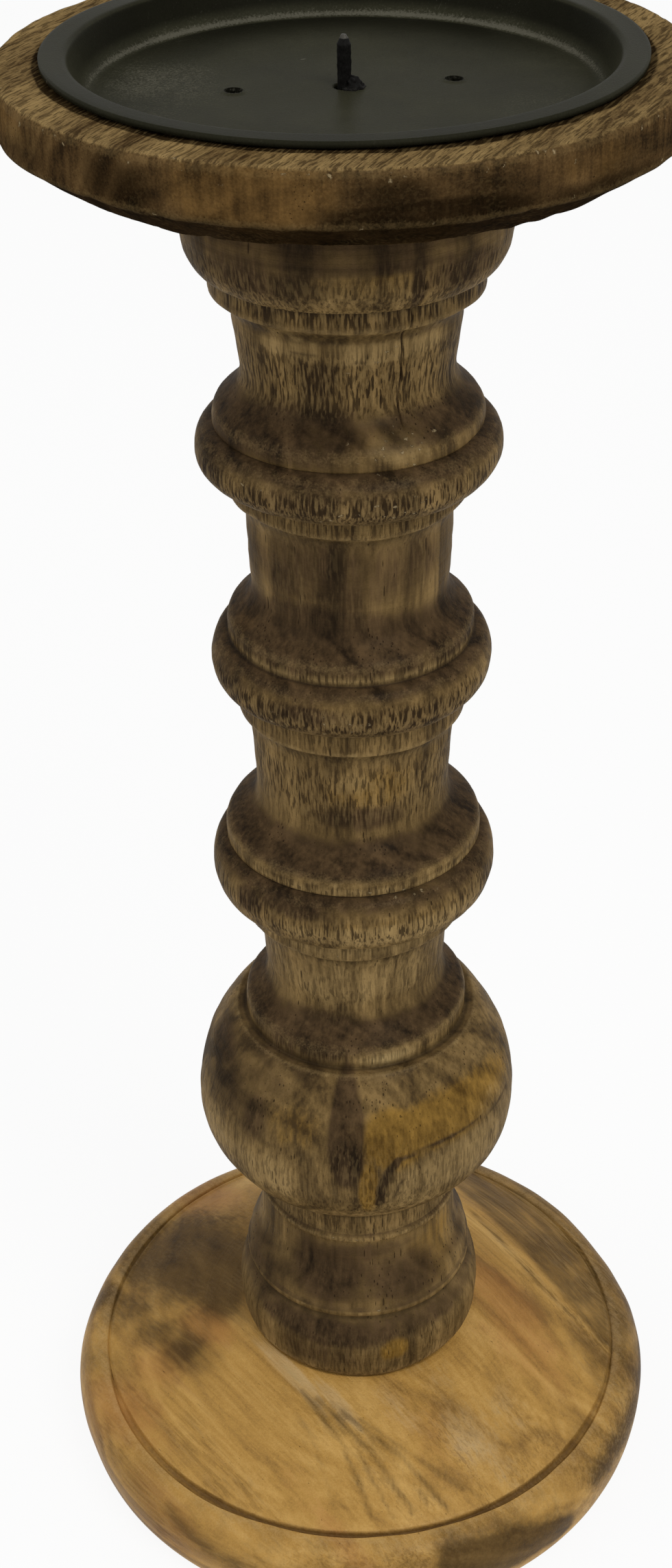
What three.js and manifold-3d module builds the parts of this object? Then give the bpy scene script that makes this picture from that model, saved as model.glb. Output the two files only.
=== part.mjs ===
// Turned wooden pillar candle holder with a lift-out metal candle plate.
// Millimetres, +Z up. The origin is on the table, in the middle of the felt pads.

import * as THREE from 'three';
import { mergeVertices } from 'three/addons/utils/BufferGeometryUtils.js';
import Module from 'manifold-3d';

const wasm = await Module();
wasm.setup();

// Height of the top disc's face above the table; the stem's necks take up what the other forms leave
const HOLDER_HEIGHT = 292.5;

// Fits between pieces that meet
const GLUE_LINE = 0.3;
const BORE_CLEARANCE = 0.3;
const POCKET_CLEARANCE = 0.8;

// Felt pads under the base
const PAD_COUNT = 4;
const PAD_RADIUS = 8;
const PAD_THICKNESS = 1.5;
const PAD_EDGE_INSET = 5;
const FIRST_PAD_ANGLE = Math.PI / 4;

// Base: a low dome, a turned line and a rolled rim
const BASE_RADIUS = 61;
const RIM_UNDERCUT = 3.5;
const RIM_LOWER_ROLL = 9;
const RIM_UPPER_ROLL = 8.7;
const RIM_WIDTH = 6.2;
const LINE_WIDTH = 1.4;
const LINE_DEPTH = 0.9;
const DOME_RISE = 10.5;
const SEAT_MARGIN = 1;

// Stem foot: a tenon in the base, then a rolled collar with a ring, and a throat with another
const TENON_RADIUS = 10;
const TENON_LENGTH = 12;
const FOOT_EDGE_RADIUS = 22.6;
const COLLAR_RADIUS = 24.8;
const COLLAR_LOWER_ROLL = 8;
const COLLAR_UPPER_ROLL = 8.2;
const COLLAR_FULLNESS = 4.5;
const COLLAR_RING_RADIUS = 22.4;
const COLLAR_RING_HEIGHT = 2.7;
const COLLAR_THROAT_HEIGHT = 12;
const THROAT_RADIUS = 19.5;
const THROAT_HEIGHT = 3.3;
const THROAT_RING_HEIGHT = 2.8;
const THROAT_TOP_HEIGHT = 4.8;
const RING_PROUD = 0.6;

// Where an S-shaped flare turns from one curve to the other, as a share of its height
const FLARE_TURN = 0.4;

// Ball: round above its equator, full and then flatter below it
const BALL_RADIUS = 31;
const BALL_LOWER_HEIGHT = 19;
const BALL_BELLY_HEIGHT = 9.5;
const BALL_UNDERSIDE_RUN = 7;
const BALL_TOP_ANGLE = THREE.MathUtils.degToRad(42);
const BALL_SHOULDER_RADIUS = 21.2;
const BALL_SHOULDER_HEIGHT = 2.6;

// Knops, from the ball up: flare, neck with its share of the height left, fillet, bead, shoulder
const LOWER_KNOP = {
  flareHeight: 8.2, neckRadius: 16.6, neckShare: 0.23, neckSpread: 1,
  filletRadius: 20.4, filletHeight: 5.1,
  rootRadius: 22.4, beadRadius: 25.7, beadHeight: 11.4,
  shoulderRadius: 23.1, shoulderHeight: 1.8,
};
const MIDDLE_KNOP = {
  flareHeight: 8.8, neckRadius: 17.1, neckShare: 0.275, neckSpread: 0.7,
  filletRadius: 20.1, filletHeight: 5.4,
  rootRadius: 21.4, beadRadius: 24.4, beadHeight: 9.7,
  shoulderRadius: 21.4, shoulderHeight: 2.1,
};
const UPPER_KNOP = {
  flareHeight: 7.4, neckRadius: 16.9, neckShare: 0.285, neckSpread: 0.7,
  filletRadius: 20.3, filletHeight: 4.1,
  rootRadius: 21.9, beadRadius: 25.5, beadHeight: 8.6,
  shoulderRadius: 22.4, shoulderHeight: 1.1,
};
const TOP_KNOP = {
  flareHeight: 8.8, neckRadius: 17.5, neckShare: 0.21, neckSpread: 0.9,
  filletRadius: 22, filletHeight: 3.8,
  rootRadius: 22.6, beadRadius: 26.2, beadHeight: 17.2,
  shoulderRadius: 22.8, shoulderHeight: 1.3,
};

// Candle plate: a pressed pan with a flat flange and two punched holes
const SHEET = 0.9;
const PLATE_FLOOR_RADIUS = 38.9;
const PLATE_DEPTH = 6.2;
const WALL_SPREAD = 2.3;
const FLANGE_WIDTH = 4.4;
const BEND = 1.6;
const HOLE_RADIUS = 1.2;
const HOLE_RING_RADIUS = 16.7;
const HOLE_ANGLE = THREE.MathUtils.degToRad(8);

// Spike through the plate's floor, with a tack of weld beside it
const SPIKE_RADIUS = 1.05;
const SPIKE_HEIGHT = 7.7;
const SPIKE_TIP_HEIGHT = 1.3;
const SPIKE_TIP_RADIUS = 0.35;
const WELD_RADIUS = 1.3;
const WELD_HEIGHT = 1.6;
const WELD_OFFSET = 1.8;
const WELD_ANGLE = THREE.MathUtils.degToRad(-15);

// Top disc: a flat border round the flange, a straight side and a chamfer
const DISC_BORDER = 7;
const DISC_CHAMFER_HEIGHT = 5;
const DISC_CHAMFER_WIDTH = 7.4;
const DISC_ARRIS = 0.6;
const DISC_WEB = 3;

// Wood screws and their washers
const TOP_SCREW = {
  shankRadius: 2.3, length: 36, tipHeight: 5, headRadius: 4.5, headHeight: 1.8, slotWidth: 1, slotDepth: 0.9,
};
const TOP_WASHER = { radius: 6.2, thickness: 1 };
const TOP_SCREW_COVER = 0.4;
const BASE_SCREW = {
  shankRadius: 2.7, length: 40, tipHeight: 6, headRadius: 5.4, headHeight: 3, slotWidth: 1.2, slotDepth: 1.4,
};
const BASE_WASHER = { radius: 7.8, thickness: 1.2 };
const BASE_COUNTERBORE_DEPTH = 8;

// Facets
const TURN_STEPS = 36;
const SMALL_TURN_STEPS = 16;
const CURVE_STEPS = 4;

// Levels that follow from the sizes above, from the table up
const padRingRadius = BASE_RADIUS - RIM_UNDERCUT - PAD_EDGE_INSET - PAD_RADIUS;
const baseLevel = PAD_THICKNESS + GLUE_LINE;
const baseHeight = RIM_LOWER_ROLL + RIM_UPPER_ROLL + DOME_RISE;
const baseWeb = baseHeight - TENON_LENGTH - BASE_COUNTERBORE_DEPTH;
const stemLevel = baseLevel + baseHeight + GLUE_LINE;
const mouthRadius = PLATE_FLOOR_RADIUS + WALL_SPREAD;
const flangeRadius = mouthRadius + FLANGE_WIDTH;
const discRadius = flangeRadius + DISC_BORDER;
const pocketDepth = PLATE_DEPTH;
const topCounterboreDepth = 2 * GLUE_LINE + TOP_WASHER.thickness + TOP_SCREW.headHeight + TOP_SCREW_COVER;
const discThickness = pocketDepth + topCounterboreDepth + DISC_WEB;

// What the stem's other forms leave for its necks
const knops = [LOWER_KNOP, MIDDLE_KNOP, UPPER_KNOP, TOP_KNOP];
const stemHeight = HOLDER_HEIGHT - discThickness - GLUE_LINE - stemLevel;
const collarHeight = COLLAR_LOWER_ROLL + COLLAR_UPPER_ROLL + COLLAR_RING_HEIGHT + COLLAR_THROAT_HEIGHT;
const throatHeight = THROAT_HEIGHT + THROAT_RING_HEIGHT + THROAT_TOP_HEIGHT;
const ballHeight = BALL_LOWER_HEIGHT + BALL_RADIUS * Math.sin(BALL_TOP_ANGLE) + BALL_SHOULDER_HEIGHT;
const knopsHeight = knops.reduce((sum, knop) => (
  sum + knop.flareHeight + knop.filletHeight + knop.beadHeight + knop.shoulderHeight
), 0);
const necksHeight = stemHeight - collarHeight - throatHeight - ballHeight - knopsHeight;

// How far each screw reaches into the stem
const baseScrewReach = BASE_SCREW.length - BASE_WASHER.thickness - baseWeb - 3 * GLUE_LINE;
const topScrewReach = TOP_SCREW.length - TOP_WASHER.thickness - DISC_WEB - 3 * GLUE_LINE;

/** Turns a profile, drawn as radius and height, about the Z axis. */
function turned(profile, steps = TURN_STEPS) {
  const geometry = new THREE.LatheGeometry(profile.getPoints(CURVE_STEPS), steps);
  return geometry.rotateX(Math.PI / 2);
}

/** Gives a geometry as a solid that can be cut. */
function solid(geometry) {
  const bare = geometry.clone();
  bare.deleteAttribute('normal');
  bare.deleteAttribute('uv');
  const merged = mergeVertices(bare);
  const index = merged.index.array;
  const whole = [];
  for (let i = 0; i < index.length; i += 3) {
    const corners = [index[i], index[i + 1], index[i + 2]];
    if (new Set(corners).size === corners.length) whole.push(...corners);
  }
  return new wasm.Manifold(new wasm.Mesh({
    numProp: 3,
    vertProperties: new Float32Array(merged.attributes.position.array),
    triVerts: new Uint32Array(whole),
  }));
}

/** Cuts the tools out of a body and gives the rest back as a geometry. */
function cut(body, tools) {
  let left = solid(body);
  for (const tool of tools) left = left.subtract(solid(tool));
  const mesh = left.getMesh();
  const geometry = new THREE.BufferGeometry();
  geometry.setAttribute('position', new THREE.BufferAttribute(mesh.vertProperties, 3));
  geometry.setIndex(new THREE.BufferAttribute(mesh.triVerts, 1));
  geometry.computeVertexNormals();
  return geometry;
}

/** A plain round bar standing on the plane z = bottom. */
function roundBar(radius, bottom, height, steps = SMALL_TURN_STEPS) {
  const bar = new THREE.CylinderGeometry(radius, radius, height, steps);
  return bar.rotateX(Math.PI / 2).translate(0, 0, bottom + height / 2);
}

/** Carries a profile round a half-round bead that starts at the given height. */
function addBead(profile, foot, root, radius, height) {
  profile.lineTo(root, foot);
  profile.absellipse(root, foot + height / 2, radius - root, height / 2, -Math.PI / 2, Math.PI / 2, false);
}

/** Carries a profile over a thin ring with sloped sides that starts at the given height. */
function addRing(profile, foot, root, height) {
  const slope = height / 3;
  profile.lineTo(root, foot);
  profile.lineTo(root + RING_PROUD, foot + slope);
  profile.lineTo(root + RING_PROUD, foot + height - slope);
  profile.lineTo(root, foot + height);
}

/** Carries a profile up an S-shaped flare that is upright at both ends and turns in early. */
function addFlare(profile, radius, height) {
  const { x, y } = profile.currentPoint;
  const turn = y + FLARE_TURN * height;
  profile.bezierCurveTo(x, turn, radius, turn, radius, y + height);
}

/** Carries a profile up one knop: flare, neck, fillet, bead and shoulder. */
function addKnop(profile, knop) {
  addFlare(profile, knop.neckRadius, knop.flareHeight);
  const filletFoot = profile.currentPoint.y + knop.neckShare * necksHeight;
  const beadFoot = filletFoot + knop.filletHeight;
  const beadTop = beadFoot + knop.beadHeight;
  profile.lineTo(knop.neckRadius + knop.neckSpread, filletFoot);
  profile.lineTo(knop.filletRadius, filletFoot);
  profile.lineTo(knop.filletRadius, beadFoot);
  addBead(profile, beadFoot, knop.rootRadius, knop.beadRadius, knop.beadHeight);
  profile.lineTo(knop.shoulderRadius, beadTop);
  profile.lineTo(knop.shoulderRadius, beadTop + knop.shoulderHeight);
}

/** Carries a profile from the foot's lower edge over the rolled collar and up the throat to the ball. */
function addFootCollar(profile) {
  const ringFoot = COLLAR_LOWER_ROLL + COLLAR_UPPER_ROLL;
  profile.quadraticCurveTo(COLLAR_RADIUS, 0, COLLAR_RADIUS, COLLAR_LOWER_ROLL);
  profile.quadraticCurveTo(COLLAR_RADIUS, COLLAR_LOWER_ROLL + COLLAR_FULLNESS, COLLAR_RING_RADIUS, ringFoot);
  addRing(profile, ringFoot, COLLAR_RING_RADIUS, COLLAR_RING_HEIGHT);
  addFlare(profile, THROAT_RADIUS, COLLAR_THROAT_HEIGHT);
  addRing(profile, profile.currentPoint.y + THROAT_HEIGHT, THROAT_RADIUS, THROAT_RING_HEIGHT);
  profile.lineTo(THROAT_RADIUS, profile.currentPoint.y + THROAT_TOP_HEIGHT);
}

/** Carries a profile over the ball and its shoulder. */
function addBall(profile) {
  const foot = profile.currentPoint.clone();
  const equator = foot.y + BALL_LOWER_HEIGHT;
  profile.bezierCurveTo(
    foot.x + BALL_UNDERSIDE_RUN, foot.y + BALL_UNDERSIDE_RUN,
    BALL_RADIUS, equator - BALL_BELLY_HEIGHT,
    BALL_RADIUS, equator,
  );
  profile.absarc(0, equator, BALL_RADIUS, 0, BALL_TOP_ANGLE, false);
  const top = profile.currentPoint.y;
  profile.lineTo(BALL_SHOULDER_RADIUS, top);
  profile.lineTo(BALL_SHOULDER_RADIUS, top + BALL_SHOULDER_HEIGHT);
}

/** The stem's profile, with its shoulder on the base at height 0 and a screw bore in each end. */
function stemProfile() {
  const baseBore = BASE_SCREW.shankRadius + BORE_CLEARANCE;
  const topBore = TOP_SCREW.shankRadius + BORE_CLEARANCE;
  const baseBoreEnd = baseScrewReach + BORE_CLEARANCE - TENON_LENGTH;
  const profile = new THREE.Path();
  profile.moveTo(0, baseBoreEnd);
  profile.lineTo(baseBore, baseBoreEnd);
  profile.lineTo(baseBore, -TENON_LENGTH);
  profile.lineTo(TENON_RADIUS, -TENON_LENGTH);
  profile.lineTo(TENON_RADIUS, 0);
  profile.lineTo(FOOT_EDGE_RADIUS, 0);
  addFootCollar(profile);
  addBall(profile);
  for (const knop of knops) addKnop(profile, knop);
  const topBoreEnd = stemHeight - topScrewReach - BORE_CLEARANCE;
  profile.lineTo(topBore, stemHeight);
  profile.lineTo(topBore, topBoreEnd);
  profile.lineTo(0, topBoreEnd);
  return profile;
}

/** The base, on the plane z = 0: rolled rim, turned line, dome, and the way for tenon and screw. */
function makeBase() {
  const undersideRadius = BASE_RADIUS - RIM_UNDERCUT;
  const lineOuter = BASE_RADIUS - RIM_WIDTH;
  const lineInner = lineOuter - LINE_WIDTH;
  const lineLevel = RIM_LOWER_ROLL + RIM_UPPER_ROLL;
  const seatRadius = FOOT_EDGE_RADIUS + SEAT_MARGIN;
  const domeCentre = (lineLevel + baseHeight) / 2 - (lineInner ** 2 - seatRadius ** 2) / (2 * DOME_RISE);
  const domeRadius = Math.hypot(seatRadius, baseHeight - domeCentre);
  const domeFoot = Math.atan2(lineLevel - domeCentre, lineInner);
  const domeTop = Math.atan2(baseHeight - domeCentre, seatRadius);
  const counterbore = BASE_WASHER.radius + POCKET_CLEARANCE;
  const screwHole = BASE_SCREW.shankRadius + BORE_CLEARANCE;
  const socket = TENON_RADIUS + BORE_CLEARANCE;
  const socketFloor = baseHeight - TENON_LENGTH;
  const profile = new THREE.Path();
  profile.moveTo(counterbore, 0);
  profile.lineTo(undersideRadius, 0);
  profile.absellipse(undersideRadius, RIM_LOWER_ROLL, RIM_UNDERCUT, RIM_LOWER_ROLL, -Math.PI / 2, 0, false);
  profile.absellipse(lineOuter, RIM_LOWER_ROLL, RIM_WIDTH, RIM_UPPER_ROLL, 0, Math.PI / 2, false);
  profile.lineTo((lineOuter + lineInner) / 2, lineLevel - LINE_DEPTH);
  profile.lineTo(lineInner, lineLevel);
  profile.absarc(0, domeCentre, domeRadius, domeFoot, domeTop, false);
  profile.lineTo(socket, baseHeight);
  profile.lineTo(socket, socketFloor);
  profile.lineTo(screwHole, socketFloor);
  profile.lineTo(screwHole, BASE_COUNTERBORE_DEPTH);
  profile.lineTo(counterbore, BASE_COUNTERBORE_DEPTH);
  profile.closePath();
  return turned(profile);
}

/** The top disc, on the plane z = 0, with the plate's pocket and the screw's counterbore in it. */
function makeTopDisc() {
  const pocket = mouthRadius + SHEET + POCKET_CLEARANCE;
  const pocketFloor = discThickness - pocketDepth;
  const counterbore = TOP_WASHER.radius + POCKET_CLEARANCE;
  const screwHole = TOP_SCREW.shankRadius + BORE_CLEARANCE;
  const profile = new THREE.Path();
  profile.moveTo(screwHole, 0);
  profile.lineTo(discRadius - DISC_CHAMFER_WIDTH, 0);
  profile.lineTo(discRadius, DISC_CHAMFER_HEIGHT);
  profile.lineTo(discRadius, discThickness - DISC_ARRIS);
  profile.lineTo(discRadius - DISC_ARRIS, discThickness);
  profile.lineTo(pocket, discThickness);
  profile.lineTo(pocket, pocketFloor);
  profile.lineTo(counterbore, pocketFloor);
  profile.lineTo(counterbore, DISC_WEB);
  profile.lineTo(screwHole, DISC_WEB);
  profile.closePath();
  return turned(profile);
}

/** Draws a rounded corner of the pressed sheet on the way from one point to the next but one. */
function addBend(profile, corner, next) {
  const from = profile.currentPoint.clone();
  const before = corner.clone().sub(from).setLength(BEND);
  const after = next.clone().sub(corner).setLength(BEND);
  const start = corner.clone().sub(before);
  const end = corner.clone().add(after);
  profile.lineTo(start.x, start.y);
  profile.quadraticCurveTo(corner.x, corner.y, end.x, end.y);
}

/** The candle plate, its flange's underside on the plane z = 0: a pan of even sheet with three holes. */
function makeCandlePlate() {
  const top = SHEET;
  const floor = top - PLATE_DEPTH;
  const spikeHole = SPIKE_RADIUS + BORE_CLEARANCE;
  const lean = Math.atan2(WALL_SPREAD, PLATE_DEPTH);
  const shift = SHEET * (1 - Math.sin(lean)) / Math.cos(lean);
  const innerFoot = new THREE.Vector2(PLATE_FLOOR_RADIUS, floor);
  const innerMouth = new THREE.Vector2(mouthRadius, top);
  const outerFoot = new THREE.Vector2(PLATE_FLOOR_RADIUS + shift, floor - SHEET);
  const outerMouth = new THREE.Vector2(mouthRadius + shift, 0);
  const profile = new THREE.Path();
  profile.moveTo(spikeHole, floor - SHEET);
  addBend(profile, outerFoot, outerMouth);
  addBend(profile, outerMouth, new THREE.Vector2(flangeRadius, 0));
  profile.lineTo(flangeRadius, 0);
  profile.lineTo(flangeRadius, top);
  addBend(profile, innerMouth, innerFoot);
  addBend(profile, innerFoot, new THREE.Vector2(spikeHole, floor));
  profile.lineTo(spikeHole, floor);
  profile.closePath();
  const punches = [HOLE_ANGLE, HOLE_ANGLE + Math.PI].map((angle) => {
    const punch = roundBar(HOLE_RADIUS, floor - 2 * SHEET, 3 * SHEET);
    return punch.translate(HOLE_RING_RADIUS * Math.cos(angle), HOLE_RING_RADIUS * Math.sin(angle), 0);
  });
  return cut(turned(profile), punches);
}

/** The spike with its blunt point, its foot set through the sheet under the plane z = 0. */
function makeSpike() {
  const profile = new THREE.Path();
  profile.moveTo(0, -SHEET);
  profile.lineTo(SPIKE_RADIUS, -SHEET);
  profile.lineTo(SPIKE_RADIUS, SPIKE_HEIGHT - SPIKE_TIP_HEIGHT);
  profile.lineTo(SPIKE_TIP_RADIUS, SPIKE_HEIGHT);
  profile.lineTo(0, SPIKE_HEIGHT);
  return turned(profile, SMALL_TURN_STEPS);
}

/** The tack of weld: a small mound beside the spike, hollowed where the spike stands. */
function makeSpikeWeld() {
  const profile = new THREE.Path();
  profile.moveTo(0, 0);
  profile.lineTo(WELD_RADIUS, 0);
  profile.absellipse(0, 0, WELD_RADIUS, WELD_HEIGHT, 0, Math.PI / 2, false);
  const mound = turned(profile, SMALL_TURN_STEPS);
  mound.translate(WELD_OFFSET * Math.cos(WELD_ANGLE), WELD_OFFSET * Math.sin(WELD_ANGLE), 0);
  return cut(mound, [roundBar(SPIKE_RADIUS + BORE_CLEARANCE, -WELD_HEIGHT, 3 * WELD_HEIGHT)]);
}

/** A wood screw pointing down, its head's underside on the plane z = 0, with a crossed slot. */
function makeScrew(screw) {
  const profile = new THREE.Path();
  profile.moveTo(0, -screw.length);
  profile.lineTo(screw.shankRadius, screw.tipHeight - screw.length);
  profile.lineTo(screw.shankRadius, 0);
  profile.lineTo(screw.headRadius, 0);
  profile.quadraticCurveTo(screw.headRadius, screw.headHeight, screw.shankRadius, screw.headHeight);
  profile.lineTo(0, screw.headHeight);
  const slotLength = 2 * screw.shankRadius;
  const slots = [0, Math.PI / 2].map((angle) => {
    const slot = new THREE.BoxGeometry(slotLength, screw.slotWidth, 2 * screw.slotDepth);
    return slot.rotateZ(angle).translate(0, 0, screw.headHeight);
  });
  return cut(turned(profile, SMALL_TURN_STEPS), slots);
}

/** A flat washer on the plane z = 0 that clears the screw's shank. */
function makeWasher(washer, screw) {
  const hole = screw.shankRadius + BORE_CLEARANCE;
  const profile = new THREE.Path();
  profile.moveTo(hole, 0);
  profile.lineTo(washer.radius, 0);
  profile.lineTo(washer.radius, washer.thickness);
  profile.lineTo(hole, washer.thickness);
  profile.closePath();
  return turned(profile, SMALL_TURN_STEPS);
}

/** Names a piece, gives it its material and hangs it in the group at a height. */
function place(group, name, geometry, finish, height = 0) {
  const piece = new THREE.Mesh(geometry, new THREE.MeshStandardMaterial(finish));
  piece.name = name;
  piece.position.z = height;
  group.add(piece);
  return piece;
}

const STAINED_WOOD = { color: 0x5c4a30, roughness: 0.75, metalness: 0 };
const HONEY_WOOD = { color: 0x8f6a3c, roughness: 0.7, metalness: 0 };
const DARK_WOOD = { color: 0x43321f, roughness: 0.75, metalness: 0 };
const BLACK_PAINT = { color: 0x373733, roughness: 0.6, metalness: 0.3 };
const RAW_STEEL = { color: 0x2b2a28, roughness: 0.5, metalness: 0.8 };
const ZINC = { color: 0xa9aba8, roughness: 0.4, metalness: 0.9 };
const FELT = { color: 0x3b2f27, roughness: 1, metalness: 0 };

const holder = new THREE.Group();

/** The foot of the holder: pads, base, and the screw that draws the stem down onto it. */
function addFoot() {
  const foot = new THREE.Group();
  for (let i = 0; i < PAD_COUNT; i += 1) {
    const angle = FIRST_PAD_ANGLE + (2 * Math.PI * i) / PAD_COUNT;
    const pad = place(foot, `felt_pad_${i + 1}`, roundBar(PAD_RADIUS, 0, PAD_THICKNESS), FELT);
    pad.position.x = padRingRadius * Math.cos(angle);
    pad.position.y = padRingRadius * Math.sin(angle);
  }
  place(foot, 'base', makeBase(), HONEY_WOOD, baseLevel);
  const washerLevel = baseLevel + BASE_COUNTERBORE_DEPTH - GLUE_LINE - BASE_WASHER.thickness;
  place(foot, 'base_washer', makeWasher(BASE_WASHER, BASE_SCREW), ZINC, washerLevel);
  const screw = place(foot, 'base_screw', makeScrew(BASE_SCREW), ZINC, washerLevel - GLUE_LINE);
  screw.rotation.x = Math.PI;
  holder.add(foot);
}

/** The stem, standing on the base with its tenon in the socket. */
function addStem() {
  place(holder, 'stem', turned(stemProfile()), STAINED_WOOD, stemLevel);
}

/** The head of the holder: the disc screwed onto the stem. */
function addHead() {
  const head = new THREE.Group();
  head.position.z = HOLDER_HEIGHT - discThickness;
  place(head, 'top_disc', makeTopDisc(), DARK_WOOD);
  const washerLevel = DISC_WEB + GLUE_LINE;
  const screwLevel = washerLevel + TOP_WASHER.thickness + GLUE_LINE;
  place(head, 'top_washer', makeWasher(TOP_WASHER, TOP_SCREW), ZINC, washerLevel);
  place(head, 'top_screw', makeScrew(TOP_SCREW), ZINC, screwLevel);
  holder.add(head);
}

/** The candle plate with its spike, resting by its flange on the disc's top face. */
function addPlate() {
  const plate = new THREE.Group();
  plate.position.z = HOLDER_HEIGHT + GLUE_LINE;
  const floor = SHEET - PLATE_DEPTH;
  place(plate, 'candle_plate', makeCandlePlate(), BLACK_PAINT);
  place(plate, 'spike', makeSpike(), RAW_STEEL, floor);
  place(plate, 'spike_weld', makeSpikeWeld(), RAW_STEEL, floor);
  holder.add(plate);
}

addFoot();
addStem();
addHead();
addPlate();

export default holder;
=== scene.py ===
"""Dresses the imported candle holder: turned and stained wood, a pressed pan with its spike, screws and felt.

Shapes are worked out in millimetres, and a mesh is in metres. A turn is the angle round the stem from the
side that faces the viewer (-Y), and grows towards the viewer's right (+X).
"""

import math

import bpy
import numpy as np
from bpy.props import FloatProperty, FloatVectorProperty, PointerProperty
from bpy.types import Operator, Panel, PropertyGroup
from mathutils import Matrix, Vector


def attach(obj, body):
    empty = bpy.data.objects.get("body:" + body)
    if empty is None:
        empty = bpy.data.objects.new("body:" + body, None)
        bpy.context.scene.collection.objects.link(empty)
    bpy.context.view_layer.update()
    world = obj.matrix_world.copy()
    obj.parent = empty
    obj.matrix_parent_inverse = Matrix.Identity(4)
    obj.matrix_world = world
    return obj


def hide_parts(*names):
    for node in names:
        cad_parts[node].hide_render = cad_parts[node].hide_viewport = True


bl_info = {
    "name": "Turned candle holder",
    "version": (1, 0, 0),
    "blender": (4, 5, 0),
    "location": "View3D > Sidebar > Candle Holder",
    "description": "Builds the looks of a turned wooden candle holder round its solids",
    "category": "Add Mesh",
}

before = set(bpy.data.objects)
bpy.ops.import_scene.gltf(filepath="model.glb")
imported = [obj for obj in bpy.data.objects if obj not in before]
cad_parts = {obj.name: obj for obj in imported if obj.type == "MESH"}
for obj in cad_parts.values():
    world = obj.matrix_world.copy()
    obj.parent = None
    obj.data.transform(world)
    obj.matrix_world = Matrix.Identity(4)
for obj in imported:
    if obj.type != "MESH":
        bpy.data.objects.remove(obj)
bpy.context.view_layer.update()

MM = 0.001

# Steps along a traced outline, and how hollows and edges are told from its broad run, in millimetres
FINE_STEP = 0.05
CAVITY_SPREAD = 1.3
CAVITY_DEPTH = 0.26

# Heights in the frame, in millimetres
BASE_UNDERSIDE = 1.8
SEAT_LEVEL = 30.0
STEM_FOOT = 30.06
STEM_TOP = 279.44
DISC_UNDERSIDE = 279.5
DISC_TOP = 292.5
FLANGE_TOP = 293.7
PAN_FLOOR = 287.5
LOWER_RING = 47.8
BALL_FOOT, BALL_TOP = 76, 113
CRACK_FOOT, CRACK_END = 239, 268

# Radii, in millimetres
BASE_RIM = 61
BASE_LINE = 53.85
FLANGE_EDGE = 45.55
PAD_CIRCLE = 44.5
PAN_WALL = 39.3
PAN_BEND = 41.0

# Way of the boards' grain in plan, and the place of the crack in the top neck
BASE_GRAIN = math.radians(-50)
DISC_GRAIN = math.radians(64)
CRACK_TURN = math.radians(26.6)

# The growth line behind which the base's rear right corner is stained, in plan: a point on it and the way across
CORNER_POINT = (25, 33)
CORNER_WAY = (0.835, 0.55)

# How white the floor and the surround are where they are seen
FLOOR_SEEN = 0.91
SURROUND_SEEN = 0.96

# The camera's place in metres, its pitch, yaw and roll, and the height in metres at which the lamps aim
CAMERA_PLACE = (0, -0.33411, 0.38742)
CAMERA_TURNS = tuple(math.radians(turn) for turn in (34.066, -0.53, -1.0))
LAMP_AIM = 0.15

# Knops from the ball up: flare height, neck radius, height and spread, fillet radius and height,
# bead root, radius and height, shoulder radius and height
KNOPS = (
    (8.2, 16.6, 13.79, 1.0, 20.4, 5.1, 22.4, 25.7, 11.4, 23.1, 1.8),
    (8.8, 17.1, 16.488, 0.7, 20.1, 5.4, 21.4, 24.4, 9.7, 21.4, 2.1),
    (7.4, 16.9, 17.088, 0.7, 20.3, 4.1, 21.9, 25.5, 8.6, 22.4, 1.1),
    (8.8, 17.5, 12.591, 0.9, 22.0, 3.8, 22.6, 26.2, 17.2, 22.8, 1.3),
)

# Stained, honey-coloured and rubbed places on the stem: turn, height, half widths in degrees and mm, strength
# The first spot, all round the top knop just under the disc, is painted shade
STEM_STAINS_AND_SHADE = (
    (0, 275.5, 180, 6.2, 0.85), (24.5, 265.5, 2.4, 6, 1.0), (-20, 239, 42, 4.5, 0.9), (-60, 237, 20, 4, 0.9),
    (-62, 231, 16, 3, 0.7), (-8, 230.5, 60, 2.6, 0.65), (-8, 227.8, 64, 2.4, 0.6), (-8, 187.4, 64, 2.2, 0.62),
    (-5, 268.8, 60, 1.5, 0.75), (0, 190.2, 70, 2.4, 0.5), (-5, 213, 80, 7, 0.72), (0, 201, 180, 5, 0.9),
    (-32, 266, 24, 3.5, 0.8), (44, 266, 18, 3.5, 0.8), (-20, 205, 36, 3, 0.9), (-20, 190.5, 16, 2, 1.0),
    (-60, 192, 20, 3, 0.7), (3, 165.5, 28, 2.6, 0.85), (-48, 170, 8, 5, 0.45), (-48, 148.5, 7, 2.8, 1.1),
    (-25, 150.5, 20, 2, 0.8), (-30, 117.5, 50, 3.5, 1.0), (45, 118, 30, 2.5, 0.7), (-40, 114, 38, 2.2, 0.65),
    (-42, 111.5, 36, 2.6, 0.55), (-42, 108, 24, 3, 0.45), (-56, 102.5, 20, 5, 0.56), (-42, 100, 8, 6, 0.7),
    (-75, 107, 14, 4, 0.8), (-4.3, 102.5, 5.6, 10, 1.7), (-18, 57, 24, 8, 0.95), (25, 55, 30, 7, 0.75),
    (-65, 52, 25, 5, 0.65), (-15, 43, 45, 3.5, 0.95), (40, 44, 35, 3, 0.7), (-25, 37, 24, 4, 0.65),
    (0, 62, 40, 3, 0.7), (120, 238, 40, 5, 0.8), (165, 200, 40, 5, 0.8), (-140, 160, 40, 5, 0.8),
    (140, 104, 35, 6, 0.6), (-150, 55, 60, 9, 0.8), (-110, 100, 25, 6, 0.7), (110, 190, 25, 2.5, 0.8),
    (-160, 149, 30, 2.5, 0.9), (120, 57, 40, 8, 0.8), (-120, 40, 40, 4, 0.7), (120, 42, 40, 3.5, 0.7),
)
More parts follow.
